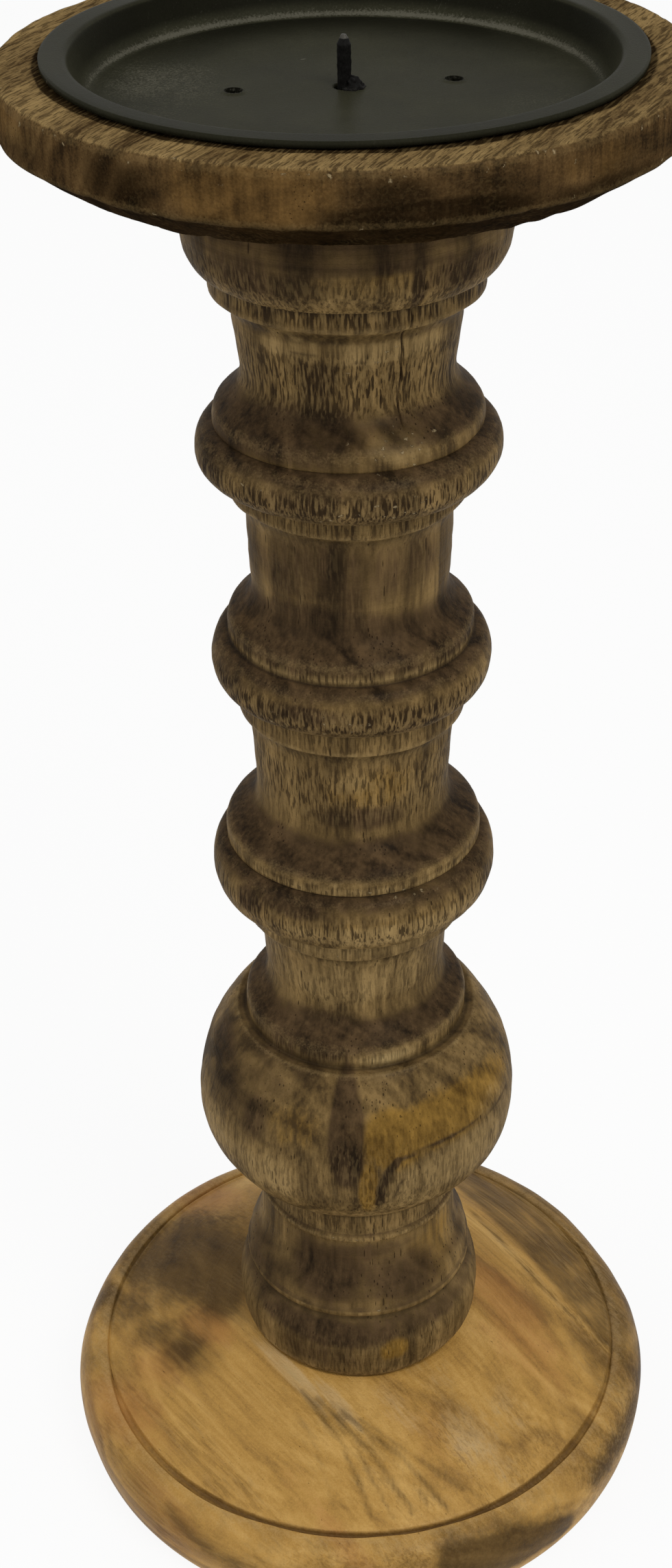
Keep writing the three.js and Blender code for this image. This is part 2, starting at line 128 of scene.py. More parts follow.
STEM_HONEYS = (
    (38, 101.5, 38, 5, 0.95), (14, 100.5, 12, 5.5, 1.15), (4, 90, 3, 6, 1.4), (-24, 102, 14, 5, 0.4),
    (17, 38.5, 7, 3, 1.0), (10, 172, 30, 5, 0.45), (15, 147, 40, 3, 0.4), (48, 58, 24, 8, 0.5),
    (8, 266, 30, 3, 0.4), (-68, 199, 10, 4, 0.7), (150, 96, 30, 8, 0.55), (-120, 172, 25, 7, 0.6),
    (110, 150, 25, 3, 0.6),
)
STEM_RUBS = (
    (-5, 264.5, 55, 3, 0.5), (5, 252.4, 60, 1.8, 1.0), (20, 237.5, 14, 2.2, 0.75), (12, 228.8, 45, 1.8, 0.4),
    (0, 196.3, 80, 0.9, 0.9), (5, 153.9, 80, 0.8, 0.9), (20, 189, 40, 1.8, 0.4), (-2, 173.5, 16, 3, 0.65),
    (40, 170, 15, 5, 0.4), (18, 145.8, 48, 2.4, 1.0), (0, 139, 80, 2, 0.7), (5, 129, 60, 6, 0.7),
    (16, 113.7, 14, 1.7, 1.6), (-38, 90, 22, 6.5, 0.65), (-62, 92, 14, 5, 0.65), (45, 91, 32, 5.5, 1.0),
    (60, 98, 14, 4, 0.55), (22, 84, 20, 4, 0.65), (13, 88, 3.5, 4, 1.1), (0, 81, 40, 3, 0.45),
    (-40, 32, 30, 1.6, 0.6), (30, 32, 35, 1.6, 0.55), (-68, 113.2, 20, 1.2, 0.5), (170, 252, 60, 4, 0.45),
    (-150, 130, 60, 7, 0.45), (180, 196.3, 90, 0.9, 0.8), (180, 153.9, 90, 0.8, 0.8), (150, 88, 40, 5, 0.55),
)
# Bands of the stem where the open pores show as dashes, and places where the grain is torn; the flecks on the
# collar's two rings, at 65.4 and 49.4 mm, are painted glints
STEM_COMBS = (
    (0, 264, 180, 3.6, 0.6), (0, 259.6, 180, 1.8, 1.0), (0, 247, 180, 5.5, 0.9), (0, 224, 180, 2, 0.7),
    (0, 229.5, 180, 2.2, 1.0), (0, 213, 180, 8, 0.22), (0, 189.5, 180, 2.4, 1.15), (0, 183, 180, 2.2, 0.6),
    (0, 171, 180, 7, 0.75), (0, 146.5, 180, 3, 0.85), (0, 139.2, 180, 2.2, 0.5), (0, 128, 180, 7, 0.4),
    (0, 90, 180, 9, 0.45), (0, 69, 180, 4, 0.5), (0, 37, 180, 6, 0.35), (0, 196.4, 180, 1, 0.8),
    (0, 154, 180, 1, 0.7), (0, 114, 180, 1.2, 0.5),
)
STEM_TORN_AND_GLINTS = (
    (20, 237.8, 18, 3, 1.2), (-40, 230, 9, 3, 0.8), (15, 229, 24, 2.5, 0.8), (14, 251, 20, 3, 0.5),
    (28, 153.5, 34, 1.5, 0.6), (-5, 65.4, 26, 1.2, 0.8), (11, 49.4, 8, 1.4, 1.0), (0, 189, 40, 2, 0.6),
    (10, 136, 30, 1.5, 0.6), (150, 238, 30, 4, 0.7), (-140, 196, 40, 3, 0.6), (10, 109, 8, 1.2, 0.5),
)
# Dark growth lines on the stem: half width in mm, strength, then corners as turn and height
STEM_LINES = (
    (0.9, 1.2, (14, 96.5), (10.5, 94), (8, 90.5), (7.5, 86)), (0.6, 0.6, (16, 92), (13.5, 89), (12.5, 86)),
    (0.7, 0.75, (13, 96.5), (22, 97.3), (34, 97.8), (55, 97.2), (75, 96.2)),
    (0.5, 0.6, (-38, 252.5), (-15, 251.8), (5, 251.2), (15, 250.2), (24, 250.5)),
    (0.5, 0.5, (-30, 214), (-24, 211), (-22, 208)), (0.5, 0.45, (-20, 216), (-15, 212), (-14, 208)),
)
# Pale lines on the necks, in the same way
STEM_PALES = (
    (0.8, 0.9, (-28, 255), (-14, 253.4), (0, 251.9), (12, 251)), (0.6, 0.7, (12, 251), (24, 252.4), (36, 254)),
    (0.7, 0.9, (-33, 217), (-27, 212), (-29, 206)), (0.6, 0.8, (-24, 217), (-19, 213), (-20, 208)),
    (0.6, 0.7, (40, 218), (45, 213), (43, 207)), (0.6, 0.6, (-12, 216), (-8, 211), (-9, 206)),
)

# The same on the base, in plan: x, y, half widths along and across the grain, strength
BASE_STAINS = (
    (-36, 15, 19, 12, 1.6), (-30, 0, 8, 5, 1.4), (-46, 18, 17, 9, 1.15), (-53, 8, 20, 6, 0.85),
    (-37, -12, 8, 5, 1.0), (-43, -6, 9, 4.5, 0.95), (-56, -8, 12, 4, 0.65), (47, 17, 40, 10, 0.4),
    (57, -18, 18, 6, 0.75), (50, -33, 14, 4, 0.55), (-54, -25, 14, 5, 0.35), (24, -34, 17, 9, 0.32),
    (-4, 48, 22, 4, 0.6), (-20, 50, 14, 4, 0.6), (20, 46, 14, 4, 0.5),
)
BASE_HONEYS = (
    (-35, 38, 10, 7, 0.9), (-32, -7, 7, 4, 0.95), (-42, -14, 10, 6, 0.6), (-50, -22, 12, 6, 0.8),
    (31, 0, 16, 6, 0.75), (36, -12, 14, 8, 0.6), (14, -34, 14, 8, 0.4), (-2, -57.5, 20, 3, 0.6),
    (-40, -44, 16, 3, 0.5),
)
# Pale rubbed streaks; the patches at the front right, from (22, -34) to (32, -28), are painted sheen
BASE_RUBS_AND_SHEEN = (
    (-14, -22, 9, 1.6, 1.35), (-5, -29, 7, 1.4, 1.05), (22, -34, 6, 5, 0.85), (26, -37, 7, 4, 0.7),
    (32, -28, 10, 6, 0.45), (8, -30, 9, 3, 0.55), (15, -24, 8, 4, 0.45),
)
BASE_LINES = (
    (2.0, 0.35, (-13, -25), (-4, -36), (5, -45), (11, -51)), (1.8, 0.4, (-7, -29), (4, -40), (15, -49)),
    (1.8, 1.2, (26, 26), (39, 7), (52, -8)), (2.2, 1.0, (29, 34), (43, 19), (57, 1)),
    (2.6, 0.9, (34, 40), (49, 24), (60, 7)), (1.6, 0.5, (-48, -18), (-36, -34), (-28, -44)),
    (1.6, 0.5, (-40, -20), (-30, -36), (-20, -48)), (4.0, 0.8, (58, -14), (54, -26), (47, -37)),
    (2.0, 0.6, (-14, -57), (0, -59), (12, -58)), (2.4, 0.6, (-40, -45), (-48, -36), (-54, -24)),
    (2.4, 0.7, (30, -26), (38, -34), (44, -38)), (1.6, 0.9, (16, -36), (22, -41), (26, -47)),
    (2.2, 0.6, (8, -27), (20, -36), (32, -42)), (1.8, 0.6, (14, -26), (26, -34), (36, -40)),
)
# Thin dark lines that fan out over the front of the base, in plan
BASE_FAN = (
    (0.8, 0.8, (-12, -26), (-4, -37), (2, -51)), (0.7, 0.6, (-11, -27), (-1, -38), (6, -51)),
    (0.9, 0.9, (-9, -28), (2, -39), (10, -50)), (0.7, 0.65, (-6, -29), (5, -39), (13, -48)),
    (0.9, 0.85, (-4, -31), (8, -40), (17, -49)), (0.8, 0.7, (0, -33), (11, -40), (20, -45)),
    (0.8, 0.6, (6, -37), (15, -42), (24, -46)), (0.7, 0.5, (-16, -25), (-9, -38), (-5, -51)),
    (0.8, 0.8, (26, 26), (38, 8), (52, -8)), (0.8, 0.6, (30, 30), (42, 14), (55, -2)),
    (0.8, 0.6, (33, 35), (47, 18), (58, 3)), (0.7, 0.5, (38, 39), (52, 20), (60, 8)),
)
# Smears on the base's rim: half width in mm, strength, then corners as mm round the rim and height
BASE_RIMS = (
    (3.4, 1.6, (19, 15), (33, 13.5), (45, 8.5)), (3.0, 1.4, (24, 11.5), (38, 9.5)),
    (3.6, 0.78, (58, 14), (78, 13), (96, 13)), (1.4, 0.4, (-44, 16), (-34, 13), (-22, 12)),
    (2.2, 0.56, (-12, 12.5), (6, 10.5), (18, 11)), (2.4, 0.5, (120, 14), (136, 12)),
    (2.4, 0.5, (-140, 13), (-120, 15)),
)

# The same on the disc: turn, height, half widths in degrees and mm, strength
# The first spot, all round the chamfer under the side, is partly stain and partly painted shade
DISC_STAINS_AND_SHADE = (
    (0, 281, 180, 3.7, 1.4), (13, 285.7, 17, 2.3, 1.3), (7, 288.5, 8, 3.2, 0.7), (22, 288, 13, 2.6, 0.5),
    (40, 285.2, 16, 1.8, 0.8), (-36, 287.5, 9, 4.5, 0.8), (-55, 287, 14, 4, 0.45), (45, 287, 12, 3, 0.4),
    (90, 287, 25, 4, 0.7), (150, 287, 30, 4, 0.8), (-120, 287, 25, 4, 0.7), (72, 287, 12, 4, 0.5),
    (-85, 287, 14, 4, 0.5),
)
DISC_HONEYS = (
    (-14, 288.5, 12.5, 6, 0.95), (40, 289, 10, 3, 0.55), (-70, 289.5, 15, 3, 0.6), (110, 288, 20, 4, 0.7),
    (-160, 288, 22, 4, 0.7),
)
DISC_RUBS = ((0, 292.4, 180, 0.4, 0.4), (-60, 289, 14, 3, 0.35))

# Pale places on the pan's floor, in plan: x, y, half widths, strength
PAN_PALE_PLACES = ((-28, 2, 9, 12, 1.0), (-30, -12, 8, 9, 0.8), (30, -12, 8, 10, 0.6))


def srgb(red, green, blue):
    """The linear colour, with full alpha, of a colour written as screen values from 0 to 255."""
    part = np.array([red, green, blue]) / 255
    linear = np.where(part <= 0.04045, part / 12.92, ((part + 0.055) / 1.055) ** 2.4)
    return (*(float(value) for value in linear), 1.0)


def dimmed(colour, share):
    """A share of a colour, with full alpha."""
    return (*(channel * share for channel in tuple(colour)[:3]), 1.0)


def colour_setting(name, description, screen):
    """A colour that the user can change, with its default written as screen values."""
    return FloatVectorProperty(
        name=name, description=description, default=srgb(*screen), size=4, subtype="COLOR", min=0, max=1
    )


class HolderWood(PropertyGroup):
    """Colours of the stained woods and the depth of the turner's marks."""

    stem_light: colour_setting("Stem light", "Thin stain on the stem", (138, 112, 70))
    stem_mid: colour_setting("Stem middle", "Common stain on the stem", (104, 83, 50))
    stem_dark: colour_setting("Stem dark", "Heavy stain on the stem", (67, 52, 31))
    stem_rub: colour_setting("Stem rubbed", "Rubbed places on the stem", (158, 132, 87))
    base_light: colour_setting("Base light", "Palest wood of the base", (206, 164, 94))
    base_mid: colour_setting("Base middle", "Common wood of the base", (182, 140, 72))
    base_dark: colour_setting("Base dark", "Dark grain of the base", (138, 104, 54))
    base_rub: colour_setting("Base rubbed", "Pale streaks of the base", (202, 172, 124))
    disc_light: colour_setting("Disc light", "Thin stain on the disc", (104, 81, 50))
    disc_mid: colour_setting("Disc middle", "Common stain on the disc", (77, 58, 34))
    disc_dark: colour_setting("Disc dark", "Heavy stain on the disc", (42, 31, 18))
    disc_rub: colour_setting("Disc rubbed", "Bare top face of the disc", (158, 132, 86))
    honey: colour_setting("Honey", "Yellow places where the stain is thin", (148, 113, 50))
    orange: colour_setting("Orange", "Warm places on the base", (186, 134, 72))
    # Stain; on the stem this colour also paints the shade under the disc
    stain: colour_setting("Stain", "Brown of the stained places", (84, 65, 44))
    groove: colour_setting("Groove", "Wax that lies in the base's turned line", (76, 51, 23))
    pore: colour_setting("Pore", "Open pores of the wood", (27, 20, 13))
    nick: colour_setting("Nick", "Small fresh nicks", (164, 145, 110))
    arris: FloatProperty(
        name="Arris", description="Rounding of the turned edges, in mm", default=0.24, min=0.1, max=1.0
    )
    uneven: FloatProperty(
        name="Unevenness", description="Height of the hand-turned waviness, in mm", default=0.1, min=0, max=0.5
    )
    crack: FloatProperty(
        name="Crack", description="Depth of the crack in the top neck, in mm", default=0.45, min=0, max=1.5
    )


class HolderMetal(PropertyGroup):
    """Colours of the pan, the spike, the screws and the felt."""

    paint: colour_setting("Pan paint", "Black paint of the pan", (55, 54, 41))
    scuff: colour_setting("Scuff", "Rubbed paint of the pan", (104, 101, 88))
    steel: colour_setting("Spike steel", "Blackened steel of the spike", (30, 29, 27))
    bright: colour_setting("Bright steel", "Ground point of the spike", (70, 68, 62))
    zinc: colour_setting("Zinc", "Plating of screws and washers", (176, 178, 174))
    felt: colour_setting("Felt", "Felt under the base", (62, 50, 41))
    sheet: FloatProperty(
        name="Sheet", description="Thickness of the pan's sheet", default=0.9 * MM, unit="LENGTH", min=0.0002
    )


class HolderStage(PropertyGroup):
    """Floor, light and camera."""

    floor: colour_setting("Floor", "Pale floor", (248, 248, 247))
    surround: FloatProperty(name="Surround", description="Level of the white surround", default=0.55, min=0)
    key: FloatProperty(name="Key light", description="Key light", default=6.5, min=0, unit="POWER")
    fill: FloatProperty(name="Fill light", description="Fill light", default=1.6, min=0, unit="POWER")
    lens: FloatProperty(
        name="Lens", description="Focal length for a 36 mm long side", default=51.055, min=10,
        subtype="DISTANCE_CAMERA",
    )


class HolderSettings(PropertyGroup):
    """All the settings of the candle holder."""

    wood: PointerProperty(type=HolderWood, name="Wood", description="Woods and stains")
    metal: PointerProperty(type=HolderMetal, name="Metal", description="Pan, spike, screws and felt")
    stage: PointerProperty(type=HolderStage, name="Stage", description="Floor, light and camera")


class Value:
    """One output of a shader node. Arithmetic on values adds Math nodes."""

    def __init__(self, finish, socket):
        self.finish = finish
        self.socket = socket

    def math(self, operation, first, second):
        return self.finish.node("ShaderNodeMath", {"operation": operation}, {0: first, 1: second})

    def __add__(self, other):
        return self.math("ADD", self, other)

    __radd__ = __add__

    def __sub__(self, other):
        return self.math("SUBTRACT", self, other)

    def __rsub__(self, other):
        return self.math("SUBTRACT", other, self)

    def __mul__(self, other):
        return self.math("MULTIPLY", self, other)

    __rmul__ = __mul__

    def at_least(self, low):
        return self.math("MAXIMUM", self, low)

    def at_most(self, high):
        return self.math("MINIMUM", self, high)

    def rise(self, low, high):
        """0 up to low, 1 from high on, and a smooth step between."""
        settings = {"interpolation_type": "SMOOTHSTEP"}
        sockets = {"Value": self, "From Min": low, "From Max": high}
        return self.finish.node("ShaderNodeMapRange", settings, sockets)

    def twin(self, name):
        """Another output of the same node."""
        return Value(self.finish, self.socket.node.outputs[name])


class Finish:
    """A node tree of a material or of the world, and the ways in which its nodes are added."""

    def __init__(self, owner):
        owner.use_nodes = True
        self.owner = owner
        self.tree = owner.node_tree
        self.tree.nodes.clear()

    def node(self, kind, settings, sockets, output=0):
        """Adds one node: its settings first, then what each socket gets, a number, a colour or a value."""
        made = self.tree.nodes.new(kind)
        for name, setting in settings.items():
            if name == "stops":
                self.set_stops(made.color_ramp, setting)
            else:
                setattr(made, name, setting)
        for key, given in sockets.items():
            if isinstance(given, Value):
                self.tree.links.new(given.socket, made.inputs[key])
            else:
                made.inputs[key].default_value = given
        return Value(self, made.outputs[output]) if len(made.outputs) else None

    @staticmethod
    def set_stops(ramp, stops):
        while len(ramp.elements) < len(stops):
            ramp.elements.new(1.0)
        for element, (position, colour) in zip(ramp.elements, stops):
            element.position = position
            element.color = colour

    def place(self):
        return self.node("ShaderNodeTexCoord", {}, {}, "Object")

    def grain(self, turn, sizes):
        """Object coordinates turned about Z and divided by sizes in mm, so that one unit is one size."""
        scale = tuple(size * MM for size in sizes)
        sockets = {"Vector": self.place(), "Rotation": (0, 0, turn), "Scale": scale}
        return self.node("ShaderNodeMapping", {"vector_type": "TEXTURE"}, sockets)

    def pith(self, place, lean, width, across):
        """Distance, in growth rings of this width, from a leaning line along the grain through a place in mm."""
        sockets = {
            "Vector": self.place(), "Location": tuple(value * MM for value in place),
            "Rotation": lean, "Scale": (width * MM,) * 3,
        }
        near = self.node("ShaderNodeMapping", {"vector_type": "TEXTURE"}, sockets)
        flat = self.node("ShaderNodeVectorMath", {"operation": "MULTIPLY"}, {0: near, 1: across})
        return self.node("ShaderNodeVectorMath", {"operation": "LENGTH"}, {0: flat}, "Value")

    def noise(self, vector, detail=2.0, rough=0.5, bend=0.0):
        sockets = {"Vector": vector, "Scale": 1.0, "Detail": detail, "Roughness": rough, "Distortion": bend}
        return self.node("ShaderNodeTexNoise", {}, sockets)

    def lines(self, along, detail=2.0):
        """Noise that changes with one number only."""
        sockets = {"W": along, "Scale": 1.0, "Detail": detail}
        return self.node("ShaderNodeTexNoise", {"noise_dimensions": "1D"}, sockets)

    def cells(self, vector):
        """Distance to the nearest of scattered points, and a random number for that point."""
        near = self.node("ShaderNodeTexVoronoi", {}, {"Vector": vector, "Scale": 1.0})
        return near, self.node("ShaderNodeSeparateColor", {}, {"Color": near.twin("Color")})

    def field(self, name):
        return self.node("ShaderNodeAttribute", {"attribute_name": name}, {}, "Fac")

    def mix(self, factor, first, second):
        settings = {"data_type": "RGBA", "clamp_factor": True}
        return self.node("ShaderNodeMix", settings, {0: factor, 6: first, 7: second}, 2)

    def ramp(self, value, *stops):
        return self.node("ShaderNodeValToRGB", {"stops": stops}, {"Fac": value})

    def axis(self, name):
        return self.node("ShaderNodeSeparateXYZ", {}, {"Vector": self.place()}, name)

    def shade(self, sockets, height, depth):
        """Ends the material in a Principled shader with these sockets and a bump of this depth in mm."""
        bump = self.node("ShaderNodeBump", {}, {"Height": height, "Distance": depth * MM})
        shader = self.node("ShaderNodeBsdfPrincipled", {}, {**sockets, "Normal": bump})
        self.node("ShaderNodeOutputMaterial", {}, {"Surface": shader})
        return self.owner


def new_finish(name):
    return Finish(bpy.data.materials.new(name))


def wood_finish(name, look):
    """Stained open-pored wood, as a solid pattern that runs through the piece along its grain.

    The tone is a sum of growth rings, broad figure, streaks, mottling and specks. Honey, rubbed and stained
    places follow the piece's own fields, their edges broken by smudges and streaks; the stained places also hold
    painted shade, the rubbed places painted sheen and the torn flecks painted glints. Dirt lies in hollows and
    wear on edges. Pores are dashes of noise stretched along the grain, and torn grain shows as pale flecks.
    Where a look has runs, its streaks run by those sizes on all faces without open grain.
    """
    wood = bpy.context.scene.candle_holder.wood
    f = new_finish(name)
    turn, sizes = look["turn"], look["sizes"]
    bend = f.noise(f.grain(turn, sizes(18, 70)), 2)
    growth = f.lines(f.pith(*look["pith"]) + (bend - 0.5) * 3.0, 2)
    figure = f.noise(f.grain(turn, sizes(7, 110)), 3, 0.5, 0.8)
    streak = f.noise(f.grain(turn, sizes(1.0, 26)), 3, 0.6)
    if "runs" in look:
        runs = f.noise(f.grain(0, look["runs"]), 3, 0.6)
        streak = streak + (runs - streak) * (1 - f.field("comb").rise(0.2, 0.6))
    mottle = f.noise(f.grain(0, (1.5, 1.5, 1.5)), 4, 0.7)
    speck = f.noise(f.grain(0, (0.34, 0.34, 0.34)), 2, 0.6)
    smudge = f.noise(f.grain(0, (8, 8, 8)), 2, 0.5, 0.5)
    rings = f.lines(look["rings"](f), 3)
    tone = 0.5
    for pattern, weight in zip((growth, figure, streak, mottle, speck), look["tone"]):
        tone = tone + (pattern - 0.5) * weight
    dark, mid, light, rubbed = look["colours"]
    colour = f.ramp(tone, (0.35, dark), (0.5, mid), (0.65, light))

    fingers, spots = look["edges"]
    break_up = (smudge - 0.5) * 0.7 + (mottle - 0.5) * spots + (streak - 0.5) * fingers
    honey = (f.field("honey") + break_up * 0.7).rise(0.2, 0.75)
    colour = f.mix(honey * look["honey"], colour, f.ramp(tone, *look["warm"]))
    rub = (f.field("rub") + break_up * 0.8).rise(0.25, 0.85)
    colour = f.mix(rub * look["rub"], colour, f.ramp(tone, (0.32, mid), (0.62, rubbed)))
    bare = f.field("rub").rise(1.0, 1.6)
    colour = f.mix(bare * 0.8, colour, f.ramp(tone, (0.3, rubbed), (0.65, srgb(178, 154, 106))))
    # Stain, which also paints shade: under the disc on the stem, on the disc's chamfer and under the pan
    stain = (f.field("stain") + break_up).rise(*look["soak"])
    colour = f.mix(stain * look["stain"], colour, f.ramp(tone, *look["stained"]))
    dirt = (f.field("dirt") + (mottle - 0.5) * 0.6).rise(0.3, 1.1)
    colour = f.mix(dirt * look["dirt"], colour, look["groove"])
    wear = (f.field("wear") + (mottle - 0.5) * 1.3 + (speck - 0.5) * 1.0).rise(0.5, 1.3)
    colour = f.mix(wear * look["wear"], colour, rubbed)

    wide, long = look["dash"]
    comb = f.noise(f.grain(turn, sizes(wide, long)), 1, 0.4)
    hair = f.noise(f.grain(turn, sizes(wide * 0.45, long * 0.8)), 1, 0.4)
    shown = (f.field("comb") + (smudge - 0.5) * 0.6).at_least(0.0).at_most(1.0)
    colour = f.mix((1 - comb.rise(0.38, 0.5)) * shown * look["comb"] * 0.3, colour, rubbed)
    dash = (comb.rise(0.55, 0.61) * 0.9 + hair.rise(0.57, 0.67) * 0.5).at_most(1.0) * shown
    colour = f.mix(dash * look["comb"], colour, look["pore"])
    near, chance = f.cells(f.grain(turn, sizes(0.62, 7)))
    size = (chance * 0.3 + 0.08) * (figure * 1.2 + smudge * 0.8).rise(0.7, 1.25) * look["pores"]
    pore = (size - near).rise(-0.03, 0.1)
    colour = f.mix(pore * 0.7, colour, look["pore"])
    fleck, luck = f.cells(f.grain(turn, sizes(1.5, 1.0)))
    torn = (0.26 + (speck - 0.5) * 0.9 - fleck).rise(0.0, 0.15)
    torn = torn * (luck * 0.9 + f.field("torn") * 0.6).rise(0.98, 1.05)
    colour = f.mix(torn * 0.6, colour, tuple(wood.nick))

    rough = look["rough"] + (mottle - 0.5) * 0.25 + (pore + dash) * 0.15 + stain * 0.05
    height = (mottle - 0.5) * 0.5 + (speck - 0.5) * 0.35 + (rings - 0.5) * look["ring_depth"]
    height = height - pore * 0.8 - dash * 0.55 + torn * 0.6
    gloss, coat = look["gloss"]
    sockets = {
        "Base Color": colour, "Roughness": rough, "Specular IOR Level": gloss, "Coat Roughness": 0.3,
        "Coat Weight": ((1 - stain * 0.6) * coat + wear * coat).at_most(1.0),
    }
    return f.shade(sockets, height, 0.22)


def stem_wood():
    """Dark stain over upright grain, with the turner's fine lines along the height."""
    wood = bpy.context.scene.candle_holder.wood
    return wood_finish("stem_wood", {
        "turn": 0.0, "sizes": lambda across, along: (across, across, along),
        "pith": ((9, 14, 0), (0.05, 0.03, 0), 3.4, (1, 1, 0)), "tone": (0.42, 0.55, 0.45, 0.13, 0.1),
        "rings": lambda f: f.axis("Z") * 1400, "ring_depth": 0.5,
        "colours": [tuple(c) for c in (wood.stem_dark, wood.stem_mid, wood.stem_light, wood.stem_rub)],
        "warm": ((0.33, srgb(84, 61, 24)), (0.64, tuple(wood.honey))),
        "stained": ((0.34, srgb(32, 24, 16)), (0.66, tuple(wood.stain))),
        "groove": tuple(wood.pore), "pore": srgb(40, 29, 17), "edges": (0.75, 0.05), "dash": (0.42, 3.0),
        "honey": 0.9, "rub": 0.8, "stain": 0.92, "dirt": 0.55, "wear": 0.25, "comb": 0.95, "pores": 0.75,
        "rough": 0.52, "gloss": (0.015, 0.04), "soak": (0.22, 0.8),
    })


def base_wood():
    """Thin honey-brown wax over a flat-sawn board, with the turner's lines round the axis."""
    wood = bpy.context.scene.candle_holder.wood
    return wood_finish("base_wood", {
        "turn": BASE_GRAIN, "sizes": lambda across, along: (along, across, across),
        "pith": ((-20, -40, -60), (0, 0.05, BASE_GRAIN), 4.2, (0, 1, 1)), "tone": (0.46, 0.46, 0.24, 0.12, 0.16),
        "rings": lambda f: f.pith((0, 0, 0), (0, 0, 0), 1.0, (1, 1, 0)) * 1.1, "ring_depth": 0.35,
        "colours": [tuple(c) for c in (wood.base_dark, wood.base_mid, wood.base_light, wood.base_rub)],
        "warm": ((0.3, srgb(146, 100, 50)), (0.66, tuple(wood.orange))),
        "stained": ((0.34, srgb(40, 28, 15)), (0.66, srgb(84, 63, 34))),
        "groove": tuple(wood.groove), "pore": srgb(84, 62, 32), "edges": (0.9, 0.1), "dash": (0.55, 13),
        "honey": 0.75, "rub": 0.75, "stain": 0.88, "dirt": 0.85, "wear": 0.2, "comb": 0.7, "pores": 0.3,
        "rough": 0.44, "gloss": (0.05, 0.1), "soak": (0.1, 1.2),
    })


def disc_wood():
    """Dark stain on the side of a board, rubbed pale on its top face."""
    wood = bpy.context.scene.candle_holder.wood
    return wood_finish("disc_wood", {
        "turn": DISC_GRAIN, "sizes": lambda across, along: (along, across, across), "runs": (1.2, 1.2, 14),
        "pith": ((30, 0, 250), (0, 0.04, DISC_GRAIN), 3.6, (0, 1, 1)), "tone": (0.32, 0.42, 0.4, 0.1, 0.26),
        "rings": lambda f: f.axis("Z") * 900, "ring_depth": 0.4,
        "colours": [tuple(c) for c in (wood.disc_dark, wood.disc_mid, wood.disc_light, wood.disc_rub)],
        "warm": ((0.33, srgb(58, 42, 22)), (0.66, srgb(112, 84, 46))),
        # Very dark stained tones, which also paint the shade on the chamfer and under the pan
        "stained": ((0.34, srgb(12, 8, 4)), (0.66, srgb(34, 23, 11))),
        "groove": tuple(wood.pore), "pore": srgb(44, 32, 18), "edges": (0.7, 0.08), "dash": (0.45, 3.2),
        "honey": 0.9, "rub": 0.85, "stain": 0.92, "dirt": 0.5, "wear": 0.12, "comb": 0.8, "pores": 0.5,
        "rough": 0.5, "gloss": (0.0, 0.012), "soak": (0.15, 1.0),
    })


def pan_paint():
    """Black paint: cloudy tone, fine pitting, scuffs on edges, thin scratches, pale places, dust in the bend that
    also paints its highlight, and painted shade.
    """
    metal = bpy.context.scene.candle_holder.metal
    f = new_finish("plate_paint")
    cloud = f.noise(f.grain(0, (14, 14, 14)), 4, 0.6, 0.4)
    grit = f.noise(f.grain(0, (0.35, 0.35, 0.35)), 3, 0.7)
    scratch = f.noise(f.grain(math.radians(24), (9, 0.22, 3)), 2, 0.6)
    fleck, luck = f.cells(f.grain(math.radians(24), (4.5, 1.8, 1.8)))
    chip = (0.16 - fleck).rise(0, 0.06) * (luck - 0.965).rise(0, 0.02)
    wear = (f.field("wear") + (grit - 0.5) * 1.6 + (cloud - 0.5) * 1.2).rise(0.45, 1.1)
    scuff = ((scratch - 0.62) * (cloud - 0.3)).rise(0.01, 0.06)
    # Dust, which along the wall's foot also paints the bend's highlight, and the pale places on the floor
    dust_and_sheen = (f.field("dirt") * 1.3 + (grit - 0.5) * 2.2 + (cloud - 0.5) * 0.8).rise(0.3, 1.1)
    tone = cloud * 0.5 + grit * 0.5
    # The second, near-black colour is painted shade
    dark, shade_black = dimmed(metal.paint, 0.6), dimmed(metal.paint, 0.12)
    colour = f.ramp(tone, (0.35, dark), (0.65, tuple(metal.paint)))
    amount = (wear * 0.28 + scuff * 0.25 + dust_and_sheen * 0.6 + chip * 0.8).at_most(0.9)
    # Painted shade: the gap under the flange's edge, the flange's front, the rear of wall and floor, and the holes
    colour = f.mix(f.field("soot"), colour, shade_black)
    colour = f.mix(amount, colour, tuple(metal.scuff))
    rough = 0.37 + (grit - 0.5) * 0.12 + (cloud - 0.5) * 0.1 + dust_and_sheen * 0.2
    sockets = {"Base Color": colour, "Roughness": rough, "Specular IOR Level": 0.009}
    return f.shade(sockets, grit + scratch * 0.3, 0.035)


def spike_steel():
    """Blackened steel, ground at the point, whose brightness is also a painted highlight, with a scale of fine pits.
    """
    metal = bpy.context.scene.candle_holder.metal
    f = new_finish("spike_steel")
    grit = f.noise(f.grain(0, (0.3, 0.3, 0.5)), 4, 0.7)
    drawn = f.noise(f.grain(0, (0.12, 0.12, 2.5)), 2)
    bright = (f.field("wear") + (grit - 0.5) * 0.8).rise(0.45, 0.8)
    scale = f.ramp(grit, (0.3, srgb(14, 13, 12)), (0.75, tuple(metal.steel)))
    colour = f.mix(bright, scale, tuple(metal.bright))
    rough = 0.5 + (grit - 0.5) * 0.3
    sockets = {
        "Base Color": colour, "Roughness": rough, "Metallic": bright * 0.7 + 0.05, "Specular IOR Level": 0.03,
    }
    return f.shade(sockets, grit + drawn * 0.5, 0.05)


